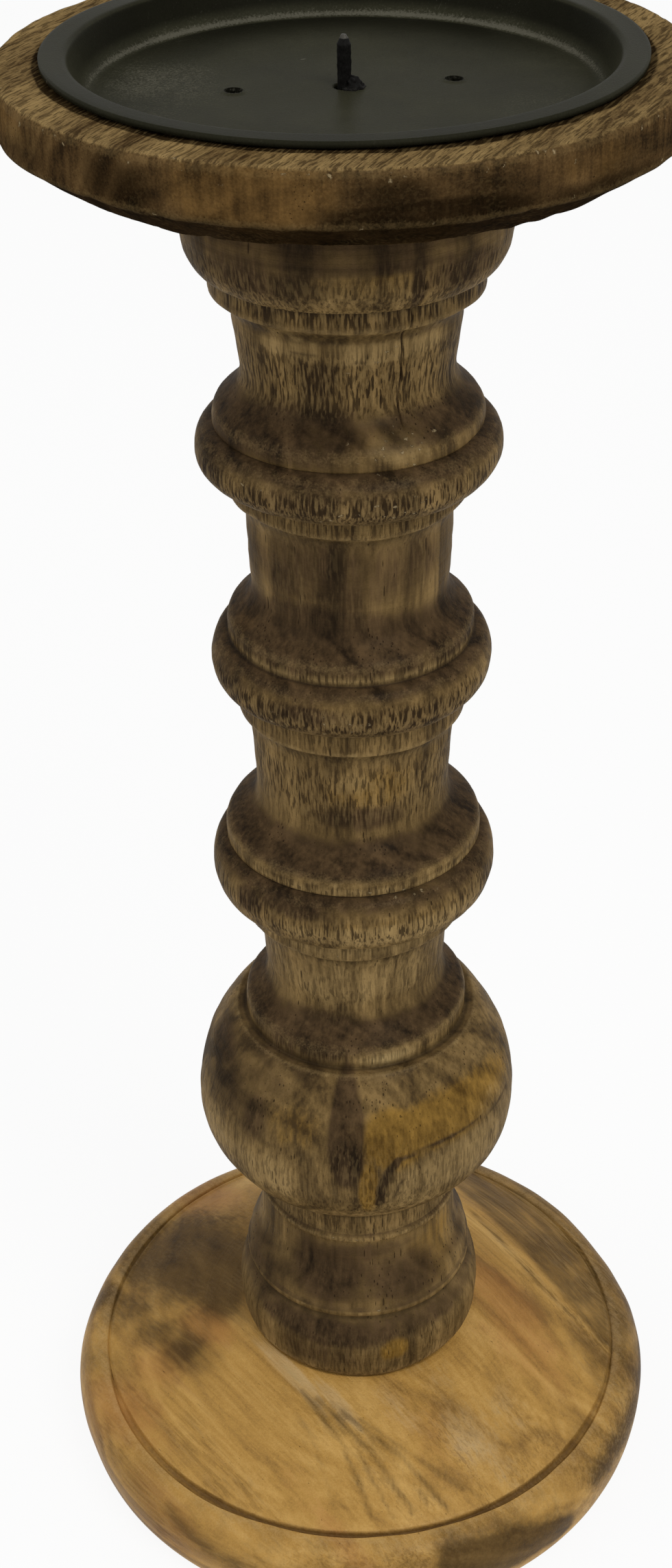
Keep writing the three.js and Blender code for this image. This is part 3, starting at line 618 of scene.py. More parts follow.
def zinc_plating():
    """Zinc plating: bright, with cloudy spangle and fine drawing lines."""
    metal = bpy.context.scene.candle_holder.metal
    f = new_finish("screw_zinc")
    cloud = f.noise(f.grain(0, (1.6, 1.6, 1.6)), 3, 0.6)
    drawn = f.noise(f.grain(0, (0.2, 0.2, 0.9)), 2)
    dirt = (f.field("dirt") + (cloud - 0.5) * 0.5).rise(0.2, 0.9)
    colour = f.ramp(cloud, (0.3, dimmed(metal.zinc, 0.7)), (0.65, tuple(metal.zinc)))
    colour = f.mix(dirt * 0.7, colour, srgb(60, 55, 48))
    rough = 0.34 + (cloud - 0.5) * 0.25 + dirt * 0.25
    return f.shade({"Base Color": colour, "Roughness": rough, "Metallic": 1.0}, drawn + cloud * 0.5, 0.03)


def felt_cloth():
    """Pressed felt: matted fibres in two directions and pale lint."""
    metal = bpy.context.scene.candle_holder.metal
    f = new_finish("felt")
    fibre = f.noise(f.grain(math.radians(35), (1.8, 0.16, 0.3)), 3, 0.6, 1.2)
    cross = f.noise(f.grain(math.radians(-50), (1.8, 0.16, 0.3)), 3, 0.6, 1.2)
    mat = fibre * 0.5 + cross * 0.5
    colour = f.ramp(mat, (0.35, dimmed(metal.felt, 0.5)), (0.6, tuple(metal.felt)))
    colour = f.mix((fibre * cross).rise(0.34, 0.44) * 0.5, colour, srgb(120, 104, 88))
    sockets = {
        "Base Color": colour, "Roughness": 0.95 - mat * 0.1, "Specular IOR Level": 0.2, "Sheen Weight": 0.3,
    }
    return f.shade(sockets, mat, 0.25)


def line(*points):
    return np.array(points, float)


def arc(centre, radii, start, end, steps=40):
    """Points of an ellipse: centre plus the radii times the cosine and sine of an evenly growing angle."""
    angle = np.linspace(math.radians(start), math.radians(end), steps)
    return np.stack([centre[0] + radii[0] * np.cos(angle), centre[1] + radii[1] * np.sin(angle)], 1)


def bezier(*points, steps=40):
    """Points of a Bezier curve, by mixing neighbouring points until one is left."""
    share = np.linspace(0, 1, steps)[:, None]
    level = [np.broadcast_to(np.array(point, float), (steps, 2)) for point in points]
    while len(level) > 1:
        level = [(1 - share) * a + share * b for a, b in zip(level, level[1:])]
    return level[0]


def flare(start, radius, height):
    """An S-shaped curve that is upright at both ends and turns in at two fifths of its height."""
    foot = start[1] + 0.4 * height
    return bezier(start, (start[0], foot), (radius, foot), (radius, start[1] + height))


def ring(foot, root, height, proud=0.6):
    """A thin ring with sloped sides."""
    slope, crest, top = height / 3, root + proud, foot + height
    return line((root, foot), (crest, foot + slope), (crest, top - slope), (root, top))


def stem_outline():
    """From the bore in the tenon, out over the foot and up through collar, ball and knops to the top bore."""
    foot, bore, bore_end = STEM_FOOT, 3.0, 48.1
    tenon, tenon_foot = 10, 18.3
    collar, roll, roll_level = 22.6, 24.8, 38.3
    waist, waist_level, neck = 22.4, 46.5, 19.5
    ball, ball_level, ball_end, shoulder = 31, 91.1, 42, 21.2
    parts = [
        line((0, bore_end), (bore, bore_end), (bore, tenon_foot), (tenon, tenon_foot)),
        line((tenon, foot), (collar, foot)),
        bezier((collar, foot), (roll, foot), (roll, roll_level)),
        bezier((roll, roll_level), (roll, 42.8), (waist, waist_level)),
        ring(waist_level, waist, 2.7),
        flare((waist, 49.2), neck, 12),
        ring(64.5, neck, 2.8),
        bezier((neck, 72.1), (26.5, 79.1), (ball, 81.6), (ball, ball_level), steps=60),
        arc((0, ball_level), (ball, ball), 0, ball_end, 60),
    ]
    level = ball_level + ball * math.sin(math.radians(ball_end))
    parts.append(line((shoulder, level), (shoulder, level + 2.6)))
    for knop in KNOPS:
        flare_height, neck, neck_height, spread, fillet, fillet_height, *head = knop
        root, bead, bead_height, rim, rim_height = head
        parts.append(flare(parts[-1][-1], neck, flare_height))
        top = parts[-1][-1][1] + neck_height
        cove = neck + spread
        under = ((fillet - 1.5, top - 0.3), (fillet - 0.1, top + 0.1))
        parts.append(bezier((cove, top - 4), (cove + 0.2, top - 1.1), *under))
        top += fillet_height
        parts.append(line((fillet, top)))
        parts.append(arc((root, top + bead_height / 2), (bead - root, bead_height / 2), -90, 90, 60))
        top += bead_height
        parts.append(line((rim, top), (rim, top + rim_height)))
    bore, bore_end = 2.6, 247.8
    parts.append(line((rim, STEM_TOP), (bore, STEM_TOP), (bore, bore_end), (0, bore_end)))
    return np.vstack(parts)


def base_outline():
    """Once round the base: underside, rolled rim, turned line, dome, seat, socket, screw hole, counterbore."""
    z = BASE_UNDERSIDE
    seat, line_inner, line_level = 23.6, 53.4, z + 17.7
    centre = (line_level + SEAT_LEVEL) / 2 - (line_inner**2 - seat**2) / (2 * (SEAT_LEVEL - line_level))
    dome = math.hypot(seat, SEAT_LEVEL - centre)
    low = math.degrees(math.atan2(line_level - centre, line_inner))
    high = math.degrees(math.atan2(SEAT_LEVEL - centre, seat))
    return np.vstack([
        line((8.6, z), (57.5, z)),
        arc((57.5, z + 9), (3.5, 9), -90, 0),
        arc((54.8, z + 9), (6.2, 8.7), 0, 90),
        line((54.4, line_level - 1.0), (53.7, line_level - 1.0)),
        arc((0, centre), (dome, dome), low, high, 90),
        line((10.3, SEAT_LEVEL), (10.3, 18.0), (3.0, 18.0), (3.0, z + 8), (8.6, z + 8)),
    ])


def disc_outline():
    """Once round the disc: underside, chamfer, side, top face, pocket, counterbore and screw hole."""
    z, top = DISC_UNDERSIDE, DISC_TOP
    return line(
        (2.6, z), (45.2, z), (52.6, z + 5), (52.6, top - 0.6), (52.0, top), (42.9, top), (42.9, top - 6.2),
        (7.0, top - 6.2), (7.0, z + 3), (2.6, z + 3),
    )


def trace(outline, closed):
    """An outline's points at even small steps of its length."""
    points = np.vstack([outline, outline[:1]]) if closed else outline
    run = np.concatenate([[0], np.cumsum(np.hypot(*np.diff(points, axis=0).T))])
    marks = np.arange(0, run[-1], FINE_STEP)
    return np.stack([np.interp(marks, run, points[:, 0]), np.interp(marks, run, points[:, 1])], 1)


def blur(points, spread, closed):
    """The bell-weighted mean of each point's neighbours along the outline, which rounds the corners."""
    reach = int(4 * spread / FINE_STEP)
    bell = np.exp(-0.5 * (np.arange(-reach, reach + 1) * FINE_STEP / spread) ** 2)
    mode = {"mode": "wrap"} if closed else {"mode": "reflect", "reflect_type": "odd"}
    padded = np.pad(points, ((reach, reach), (0, 0)), **mode)
    return np.stack([np.convolve(padded[:, k], bell / bell.sum(), mode="valid") for k in (0, 1)], 1)


def ripple(points, size, seed, waves=16):
    """A smooth random field of about unit height: seeded plane waves of nearly one length, summed at every point."""
    draw = np.random.default_rng(seed)
    ways = draw.normal(size=(waves, 3))
    ways *= (2 * np.pi / size * draw.uniform(0.6, 1.5, (waves, 1))) / np.linalg.norm(ways, axis=1)[:, None]
    phases = draw.uniform(0, 2 * np.pi, waves)
    return np.cos(points @ ways.T + phases).sum(-1) * math.sqrt(2 / waves)


def step(values, low, high):
    """0 up to low, 1 from high on, and a smooth step between."""
    share = np.clip((values - low) / (high - low), 0, 1)
    return share * share * (3 - 2 * share)


def blots(first, second, spots, firm=1.5, wrap=False):
    """Oval spots: exp of -0.7 q squared raised to firm, q being the distance over the half widths."""
    field = np.zeros(np.broadcast(first, second).shape)
    for x, y, wide, high, strength in spots:
        away = (first - x + 180) % 360 - 180 if wrap else first - x
        reach = (away / wide) ** 2 + ((second - y) / high) ** 2
        field = np.maximum(field, strength * np.exp(-0.7 * reach**firm))
    return field


def strokes(first, second, lines):
    """Thin marks along bent lines: a bell curve of the distance to the nearest point of each stretch."""
    field = np.zeros(np.broadcast(first, second).shape)
    for width, strength, *corners in lines:
        for (x, y), (x_end, y_end) in zip(corners, corners[1:]):
            dx, dy = x_end - x, y_end - y
            share = np.clip(((first - x) * dx + (second - y) * dy) / (dx * dx + dy * dy), 0, 1)
            away = np.hypot(first - x - share * dx, second - y - share * dy)
            field = np.maximum(field, strength * np.exp(-((away / width) ** 2)))
    return field


def even_turns(columns):
    return np.linspace(-np.pi, np.pi, columns, endpoint=False)


def crowded_turns(columns, place, width, gain):
    """Angles all round that lie closer together near one place, by a bell curve added to their density."""
    even = np.linspace(-np.pi, np.pi, 8001)
    density = 1 + gain * np.exp(-(((even - place) / width) ** 2))
    share = np.concatenate([[0], np.cumsum((density[1:] + density[:-1]) / 2)])
    return np.interp(np.arange(columns) / columns, share / share[-1], even)


def quads(rows, columns, closed):
    """The corners of each square of a grid whose columns run round, and whose rows do if it is closed."""
    i = np.arange(rows if closed else rows - 1)[:, None]
    j = np.arange(columns)[None, :]
    above, beside = (i + 1) % rows, (j + 1) % columns
    corners = (i * columns + j, i * columns + beside, above * columns + beside, above * columns + j)
    return np.stack(np.broadcast_arrays(*corners), -1).reshape(-1, 4)


def fans(rows, columns):
    """The corners of the triangles that join a grid's first and last row to two points numbered after it."""
    column = np.arange(columns)
    beside = (column + 1) % columns
    top = (rows - 1) * columns
    first, last = np.full(columns, rows * columns), np.full(columns, rows * columns + 1)
    return np.concatenate([np.stack([first, beside, column], 1), np.stack([column + top, beside + top, last], 1)])


def make_mesh(name, points, squares, triangles=None, fields=None):
    """A smooth mesh in metres from points in mm, the corners of its faces, and fields kept on its points."""
    triangles = np.zeros((0, 3), int) if triangles is None else triangles
    corners = np.concatenate([squares.ravel(), triangles.ravel()]).astype(np.int32)
    sizes = np.concatenate([np.full(len(squares), 4), np.full(len(triangles), 3)])
    mesh = bpy.data.meshes.new(name)
    mesh.vertices.add(len(points))
    mesh.vertices.foreach_set("co", (np.asarray(points) * MM).astype(np.float32).ravel())
    mesh.loops.add(len(corners))
    mesh.loops.foreach_set("vertex_index", corners)
    mesh.polygons.add(len(sizes))
    mesh.polygons.foreach_set("loop_start", (np.cumsum(sizes) - sizes).astype(np.int32))
    mesh.polygons.foreach_set("use_smooth", np.ones(len(sizes), bool))
    mesh.update(calc_edges=True)
    if mesh.validate():
        raise RuntimeError(f"the faces of {name} aren't sound")
    for key, values in (fields or {}).items():
        mesh.attributes.new(key, "FLOAT", "POINT").data.foreach_set("value", np.ravel(values).astype(np.float32))
    return mesh


def add_piece(mesh, material, body, slot, *nodes):
    """Puts a mesh into the scene as a piece that rides on a body and stands for CAD nodes."""
    mesh.materials.append(material)
    piece = bpy.data.objects.new(mesh.name, mesh)
    bpy.context.scene.collection.objects.link(piece)
    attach(piece, body)
    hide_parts(*nodes)
    return piece


class Turning:
    """A turned surface: a softened outline carried round the Z axis.

    The point at turn t is (r sin t, -r cos t, z), where r and z run along the outline. Rows lie closer where
    the outline bends, and far apart where hidden is true. Wear and dirt tell how far the outline stands
    proud of its own broad blur, or lies behind it.
    """

    def __init__(self, outline, rows, turns, closed=False, arris=0.24, hidden=None, bend_gain=2.0):
        fine = trace(outline, closed)
        soft = blur(fine, arris, closed)
        along = np.roll(soft, -1, 0) - np.roll(soft, 1, 0) if closed else np.gradient(soft, axis=0)
        along /= np.linalg.norm(along, axis=1)[:, None]
        normal = np.stack([along[:, 1], -along[:, 0]], 1)
        proud = ((soft - blur(fine, CAVITY_SPREAD, closed)) * normal).sum(1)
        heading = np.unwrap(np.arctan2(along[:, 1], along[:, 0]))
        weight = 1 + bend_gain * np.minimum(np.abs(np.gradient(heading)) / FINE_STEP, 3.0)
        if hidden is not None:
            weight *= np.where(hidden(soft[:, 0], soft[:, 1]), 0.1, 1.0)
        run = np.concatenate([[0], np.cumsum((weight[1:] + weight[:-1]) / 2)])
        if closed:
            marks = np.linspace(0, run[-1], rows, endpoint=False)
        else:
            marks = np.linspace(0, run[-1], rows + 2)[1:-1]
        place = np.interp(marks, run, np.arange(len(run)))
        pick = lambda values: np.interp(place, np.arange(len(values)), values)
        self.closed = closed
        self.turns = turns
        self.radius, self.height = pick(soft[:, 0]), pick(soft[:, 1])
        self.normal = np.stack([pick(normal[:, 0]), pick(normal[:, 1])], 1)
        self.wear = np.clip(pick(proud) / CAVITY_DEPTH, 0, 1)
        self.dirt = np.clip(-pick(proud) / CAVITY_DEPTH, 0, 1)
        self.ends = line((0, 0, soft[0, 1]), (0, 0, soft[-1, 1]))

    def points(self, swell=0.0):
        """The grid of points, moved along the outline's normal by swell, in mm."""
        swell = np.broadcast_to(swell, (len(self.radius), len(self.turns)))
        r = self.radius[:, None] + swell * self.normal[:, :1]
        z = self.height[:, None] + swell * self.normal[:, 1:]
        return np.stack([r * np.sin(self.turns), -r * np.cos(self.turns), z], -1)

    def spread(self, values):
        """Values by row, repeated round every row."""
        return np.repeat(values[:, None], len(self.turns), 1)

    def mesh(self, name, grid, fields=None, ends=None):
        """The mesh of a grid with its fields, closed by a point at each end if the outline is open."""
        rows, columns = grid.shape[:2]
        fields = {"wear": self.spread(self.wear), "dirt": self.spread(self.dirt), **(fields or {})}
        if self.closed:
            return make_mesh(name, grid.reshape(-1, 3), quads(rows, columns, True), fields=fields)
        for key, value in fields.items():
            fields[key] = np.concatenate([value.ravel(), value[0, :1], value[-1, :1]])
        points = np.concatenate([grid.reshape(-1, 3), self.ends if ends is None else ends])
        return make_mesh(name, points, quads(rows, columns, False), fans(rows, columns), fields)


class TurnBase(Operator):
    """Turns the wooden base: a low dome with a turned line and a rolled rim"""

    bl_idname = "candle_holder.turn_base"
    bl_label = "Turn base"

    def execute(self, context):
        wood = context.scene.candle_holder.wood
        hidden = lambda r, z: ((r < 23) & (z > 12)) | ((r < 50) & (z < 4))
        turning = Turning(base_outline(), 240, even_turns(360), True, wood.arris, hidden)
        still = turning.points()
        swell = wood.uneven * (ripple(still, 34, 11) * 0.9 + ripple(still, 12, 12) * 0.35)
        swell = swell + 0.12 * ripple(still * [1, 1, 0], 60, 13)
        x, y = still[..., 0], still[..., 1]
        along = x * math.cos(BASE_GRAIN) + y * math.sin(BASE_GRAIN)
        across = y * math.cos(BASE_GRAIN) - x * math.sin(BASE_GRAIN)
        outside = step(turning.height, 2.5, 8)[:, None] * (turning.radius[:, None] > 23.3)
        groove = self.turned_line(turning)[:, None]
        veins = 0.36 * strokes(x, y, BASE_LINES)
        fields = {
            "dirt": np.maximum(turning.dirt[:, None], 1.2 * groove) * self.line_share(turning.turns),
            "comb": 0.1 + veins,
        }
        for key, spots in (("stain", BASE_STAINS), ("honey", BASE_HONEYS), ("rub", BASE_RUBS_AND_SHEEN)):
            fields[key] = blots(along, across, self.grain_spots(spots), 1.0) * outside
        smears = strokes(BASE_RIM * turning.turns, turning.height[:, None], BASE_RIMS)
        rim = 0.36 * step(turning.radius, BASE_LINE + 0.05, 56)[:, None] + smears
        past = (x - CORNER_POINT[0]) * CORNER_WAY[0] + (y - CORNER_POINT[1]) * CORNER_WAY[1]
        marks = np.maximum.reduce([veins, 0.8 * strokes(x, y, BASE_FAN), rim, 0.85 * step(past, -1.5, 1.5)])
        fields["stain"] = np.maximum(fields["stain"], marks * outside)
        swell = swell + 0.75 * groove * (1 - step(np.cos(turning.turns), 0.15, 0.6))
        mesh = turning.mesh("base_turning", turning.points(swell * outside), fields)
        add_piece(mesh, base_wood(), "holder", "base_wood", "base")
        return {"FINISHED"}

    @staticmethod
    def grain_spots(spots):
        """Spots placed in plan, given in distances along and across the board's grain."""
        cos, sin = math.cos(BASE_GRAIN), math.sin(BASE_GRAIN)
        return [(x * cos + y * sin, y * cos - x * sin, wide, high, power) for x, y, wide, high, power in spots]

    @staticmethod
    def turned_line(turning):
        """1 in the turned line, as a bell curve of the distance from its radius."""
        return np.exp(-(((turning.radius - BASE_LINE) / 0.6) ** 2)) * (turning.height > 17)

    @staticmethod
    def line_share(turns):
        """How much wax lies in the turned line: most at the front, as a cosine of the turn, and hardly any behind."""
        return np.maximum(0.15 + 0.85 * np.cos(turns - math.radians(6)), 0.02)[None, :]


class TurnStem(Operator):
    """Turns the stem: foot collar, ball, beads and necks, with a drying crack near its top"""

    bl_idname = "candle_holder.turn_stem"
    bl_label = "Turn stem"

    def execute(self, context):
        wood = context.scene.candle_holder.wood
        hidden = lambda r, z: (r < 15) | ((z > 279) & (r < 20)) | ((z < 30.2) & (r < 21))
        turns = crowded_turns(252, CRACK_TURN, 0.05, 4)
        turning = Turning(stem_outline(), 390, turns, False, wood.arris, hidden)
        still = turning.points()
        turn = np.degrees(turns)[None, :]
        height = turning.height[:, None]
        outside = turning.radius[:, None] > 15
        swell = wood.uneven * (ripple(still, 26, 21) * 0.8 + ripple(still, 7, 22) * 0.15)
        swell += 0.1 * np.cos(2 * turns + height / 17) + 0.04 * ripple(still * [0, 0, 1], 3.2, 23)
        chips = np.clip(ripple(still, 3.5, 24) - 0.9, 0, 1) * turning.wear[:, None]
        groove = self.crack(turning)
        swell = (swell - 0.07 * chips - wood.crack * groove) * outside
        fields = self.fields(turning, turn, height)
        fields["stain"] = np.maximum(fields["stain"], 1.1 * groove)
        fields["rub"] = np.maximum(fields["rub"], 0.8 * chips)
        fields["dirt"] = np.maximum(turning.spread(turning.dirt), 0.9 * groove)
        lower_ring = np.exp(-(((turning.height - LOWER_RING) / 3) ** 2))
        fields["wear"] = turning.spread(turning.wear * (1 - 0.8 * lower_ring))
        mesh = turning.mesh("stem_turning", turning.points(swell), fields)
        add_piece(mesh, stem_wood(), "holder", "stem_wood", "stem")
        return {"FINISHED"}

    @staticmethod
    def fields(turning, turn, height):
        """Stain is heavy on faces that look up and rubbed on faces that look down, apart from the placed marks.

        Half a millimetre to the degree is about right on the stem, so lines are drawn in turns times a half.
        """
        up = turning.spread(turning.normal[:, 1])
        spots = lambda table: blots(turn, height, table, wrap=True)
        half = lambda corners: ((0.5 * x, y) for x, y in corners)
        marks, pales = (
            strokes(0.5 * turn, height, [(width, power, *half(corners)) for width, power, *corners in table])
            for table in (STEM_LINES, STEM_PALES)
        )
        ball = step(height, BALL_FOOT, BALL_FOOT + 8) * (1 - step(height, BALL_TOP - 2, BALL_TOP))
        rise = 0.85 * step(up, 0.0, 0.75) * (1 - 0.7 * ball)
        torn = spots(STEM_TORN_AND_GLINTS)
        stain = np.maximum.reduce([spots(STEM_STAINS_AND_SHADE), rise, marks])
        return {
            "stain": stain * (1 - 0.4 * np.minimum(torn, 1)),
            "honey": spots(STEM_HONEYS),
            "rub": np.maximum.reduce([spots(STEM_RUBS), pales, 0.38 * step(-up, 0.1, 0.7)]),
            "comb": spots(STEM_COMBS) * (1 - step(up, 0.2, 0.7)),
            "torn": torn + 0.15 * turning.spread(turning.wear),
        }

    @staticmethod
    def crack(turning):
        """1 along a wavering upright line, as a bell curve that is wider in the bead than below and fades out."""
        height = turning.height[:, None]
        line_turn = CRACK_TURN + 0.012 * np.sin(height / 2.3) - 0.006 * np.sin(height / 0.9)
        across = (turning.turns[None, :] - line_turn) * turning.radius[:, None]
        share = np.clip((height - CRACK_FOOT) / 2, 0, 1) * np.clip((CRACK_END - height) / 5, 0, 1)
        return share * np.exp(-((across / (0.17 + 0.2 * step(height, 258, 262))) ** 2))


class TurnDisc(Operator):
    """Turns the top disc with its chamfer and the pocket for the pan"""

    bl_idname = "candle_holder.turn_disc"
    bl_label = "Turn disc"

    def execute(self, context):
        wood = context.scene.candle_holder.wood
        hidden = lambda r, z: r < 40
        turning = Turning(disc_outline(), 170, even_turns(420), True, wood.arris, hidden)
        still = turning.points()
        turn = np.degrees(turning.turns)[None, :]
        height, radius = turning.height[:, None], turning.radius[:, None]
        outside = radius > 43.5
        chips = np.clip(ripple(still, 5, 33) - 0.8, 0, 1) * turning.wear[:, None]
        swell = wood.uneven * (ripple(still, 30, 31) * 0.8 + ripple(still, 8, 32) * 0.5) - 0.25 * chips
        up = turning.spread(turning.normal[:, 1])
        face = step(up, 0.5, 0.9)
        spots = lambda table: blots(turn, height, table, wrap=True)
        # Painted shadow under the pan: the pocket and the top face out to just past the flange's edge
        painted_flange_shadow = (1 - step(radius, FLANGE_EDGE + 0.15, FLANGE_EDGE + 1.15)) * (height > 285)
        fields = {
            "stain": np.maximum(spots(DISC_STAINS_AND_SHADE), 1.4 * painted_flange_shadow),
            "honey": spots(DISC_HONEYS),
            "rub": np.maximum.reduce([spots(DISC_RUBS), 0.5 * chips, 0.75 * face]),
            "comb": 0.08 + 0.68 * face,
            "torn": 0.55 * step(height, 288, 292) * (up < 0.5) + 0.3 * turning.wear[:, None],
        }
        mesh = turning.mesh("top_disc_turning", turning.points(swell * outside), fields)
        add_piece(mesh, disc_wood(), "holder", "disc_wood", "top_disc")
        return {"FINISHED"}


class PressPan(Operator):
    """Presses the candle pan from sheet, with a flat flange and two punched holes with raised lips"""

    bl_idname = "candle_holder.press_pan"
    bl_label = "Press pan"

    HOLES = ((16.54, 2.32), (-16.54, -2.32))
    HOLE_RADIUS = 1.4

    def execute(self, context):
        metal = context.scene.candle_holder.metal
        bend, spike_hole = 41.9, 1.35
        outline = np.vstack([
            line((FLANGE_EDGE, FLANGE_TOP), (bend, FLANGE_TOP)),
            bezier((bend, FLANGE_TOP), (41.2, FLANGE_TOP), (40.94, FLANGE_TOP - 0.7)),
            bezier((39.46, PAN_FLOOR + 1.5), (38.9, PAN_FLOOR), (37.3, PAN_FLOOR)),
            line((spike_hole, PAN_FLOOR)),
        ])
        turning = Turning(outline, 150, even_turns(300), False, 0.2)
        grid = turning.points()
        radius = turning.radius[:, None]
        flange = np.clip((radius - PAN_BEND) / 3, 0, 1)
        lift = 0.16 * flange * np.cos(turning.turns + math.radians(50)) + 0.06 * flange * ripple(grid, 40, 41)
        dish = np.clip((38 - radius) / 8, 0, 1) * 0.1 * ripple(grid, 30, 42)
        grid[..., 2] += lift + dish
        points = grid.reshape(-1, 3)
        squares = quads(*grid.shape[:2], False)
        fields = self.fields(turning, grid)
        for hole in self.HOLES:
            points, squares = self.punch(points, squares, fields, np.array(hole))
        used, corners = np.unique(squares, return_inverse=True)
        fields = {key: values[used] for key, values in fields.items()}
        mesh = make_mesh("candle_pan", points[used], corners.reshape(-1, 4), fields=fields)
        pan = add_piece(mesh, pan_paint(), "plate", "plate_paint", "candle_plate")
        wall = pan.modifiers.new("Sheet", "SOLIDIFY")
        wall.thickness = metal.sheet
        wall.offset = -1
        wall.use_even_offset = True
        return {"FINISHED"}

    @staticmethod
    def fields(turning, grid):
        """Painted shade darkens the flange, most at its edge and front, and the rear of wall and floor; dust that
        also paints a highlight lies on the foot of the wall, most at the rear, and pale places lie on the floor.
        """
        radius = turning.radius[:, None]
        rear = step(-np.cos(turning.turns), -0.3, 0.5)[None, :]
        far = step(-np.cos(turning.turns), 0.2, 0.9)[None, :]
        wall = step(radius, PAN_WALL, PAN_WALL + 0.6) * (1 - step(radius, PAN_BEND, PAN_BEND + 0.3))
        floor = step(radius, 24, 37) * (1 - step(radius, 37.4, 38.0))
        front = step(np.cos(turning.turns), 0.3, 0.9)[None, :]
        edge = step(radius, FLANGE_EDGE - 0.3, FLANGE_EDGE - 0.1)
        flange = np.maximum((0.2 + 0.2 * front) * step(radius, PAN_BEND, PAN_BEND + 0.4), edge)
        foot = np.exp(-(((radius - 38.6) / 0.55) ** 2)) * (0.15 + 0.65 * rear)
        fields = {
            "wear": 0.3 * turning.spread(turning.wear),
            # Dust on the wall's foot, most at the rear, which also paints that bend's highlight, and pale places on
            # the floor
            "dirt": np.maximum(foot, 0.42 * blots(grid[..., 0], grid[..., 1], PAN_PALE_PLACES)),
            # Painted shade on the flange's edge and front and on the rear of the wall and the floor
            "soot": np.maximum.reduce([flange, 0.75 * rear * wall, 0.85 * far * floor]),
        }
        return {key: values.ravel() for key, values in fields.items()}

    def punch(self, points, squares, fields, hole):
        """Drops the squares inside the hole, draws points inside out to its edge and raises a lip round it.

        The lip's height is a bell curve of the distance from the hole's edge.
        """
        offset = points[:, :2] - hole
        away = np.linalg.norm(offset, axis=1)
        inside = away < self.HOLE_RADIUS
        squares = squares[~inside[squares].all(1)]
        points = points.copy()
        points[inside, :2] = hole + offset[inside] / np.maximum(away[inside, None], 1e-6) * self.HOLE_RADIUS
        lip = np.exp(-((np.maximum(away - self.HOLE_RADIUS, 0) / 0.4) ** 2))
        points[:, 2] += 0.22 * lip
        # The lip's paint is worn pale, which also paints its highlight
        fields["wear"] = np.maximum(fields["wear"], 0.55 * lip)
        # Painted shade inside the hole
        fields["soot"] = np.maximum(fields["soot"], 1.0 * inside)
        return points, squares


class SetSpike(Operator):
    """Sets the blunt spike in the pan and runs the tack of weld beside it"""

    bl_idname = "candle_holder.set_spike"
    bl_label = "Set spike"

    def execute(self, context):
        outline = line(
            (0, 286.6), (1.05, 286.6), (1.05, 293.8), (0.95, 294.0), (0.42, 295.1), (0.3, 295.2), (0, 295.2),
        )
        turning = Turning(outline, 90, even_turns(48), False, 0.07)
        swell = 0.03 * ripple(turning.points(), 1.4, 51)
        # The bright point is ground steel and also a painted highlight
        fields = {"wear": turning.spread(step(turning.height, 294.3, 294.9))}
        mesh = turning.mesh("spike_rod", turning.points(swell), fields)
        finish = spike_steel()
        add_piece(mesh, finish, "plate", "spike_steel", "spike")
        add_piece(self.weld(), finish, "plate", "spike_steel", "spike_weld")
        return {"FINISHED"}

    @staticmethod
    def weld():
        """A dome 1.55 mm high that runs out into a low skirt beside the spike, with lumps of about a millimetre."""
        outline = np.vstack([
            line((0, PAN_FLOOR - 0.05), (1.8, PAN_FLOOR - 0.05)),
            bezier((1.8, PAN_FLOOR + 0.06), (1.1, PAN_FLOOR + 0.1), (1.05, PAN_FLOOR + 1.5), (0, PAN_FLOOR + 1.55)),
        ])
        turning = Turning(outline, 60, even_turns(64), False, 0.1)
        still = turning.points()
        upper = (turning.normal[:, 1] > -0.5)[:, None]
        swell = (0.16 * ripple(still, 1.5, 52) + 0.07 * ripple(still, 0.7, 53)) * upper
        aside = np.array([1.25, -0.45, 0])
        fields = {"wear": turning.spread(0.05 + 0.45 * step(turning.radius, 1.0, 1.6))}
        return turning.mesh("spike_weld_bead", turning.points(swell) + aside, fields, turning.ends + aside)


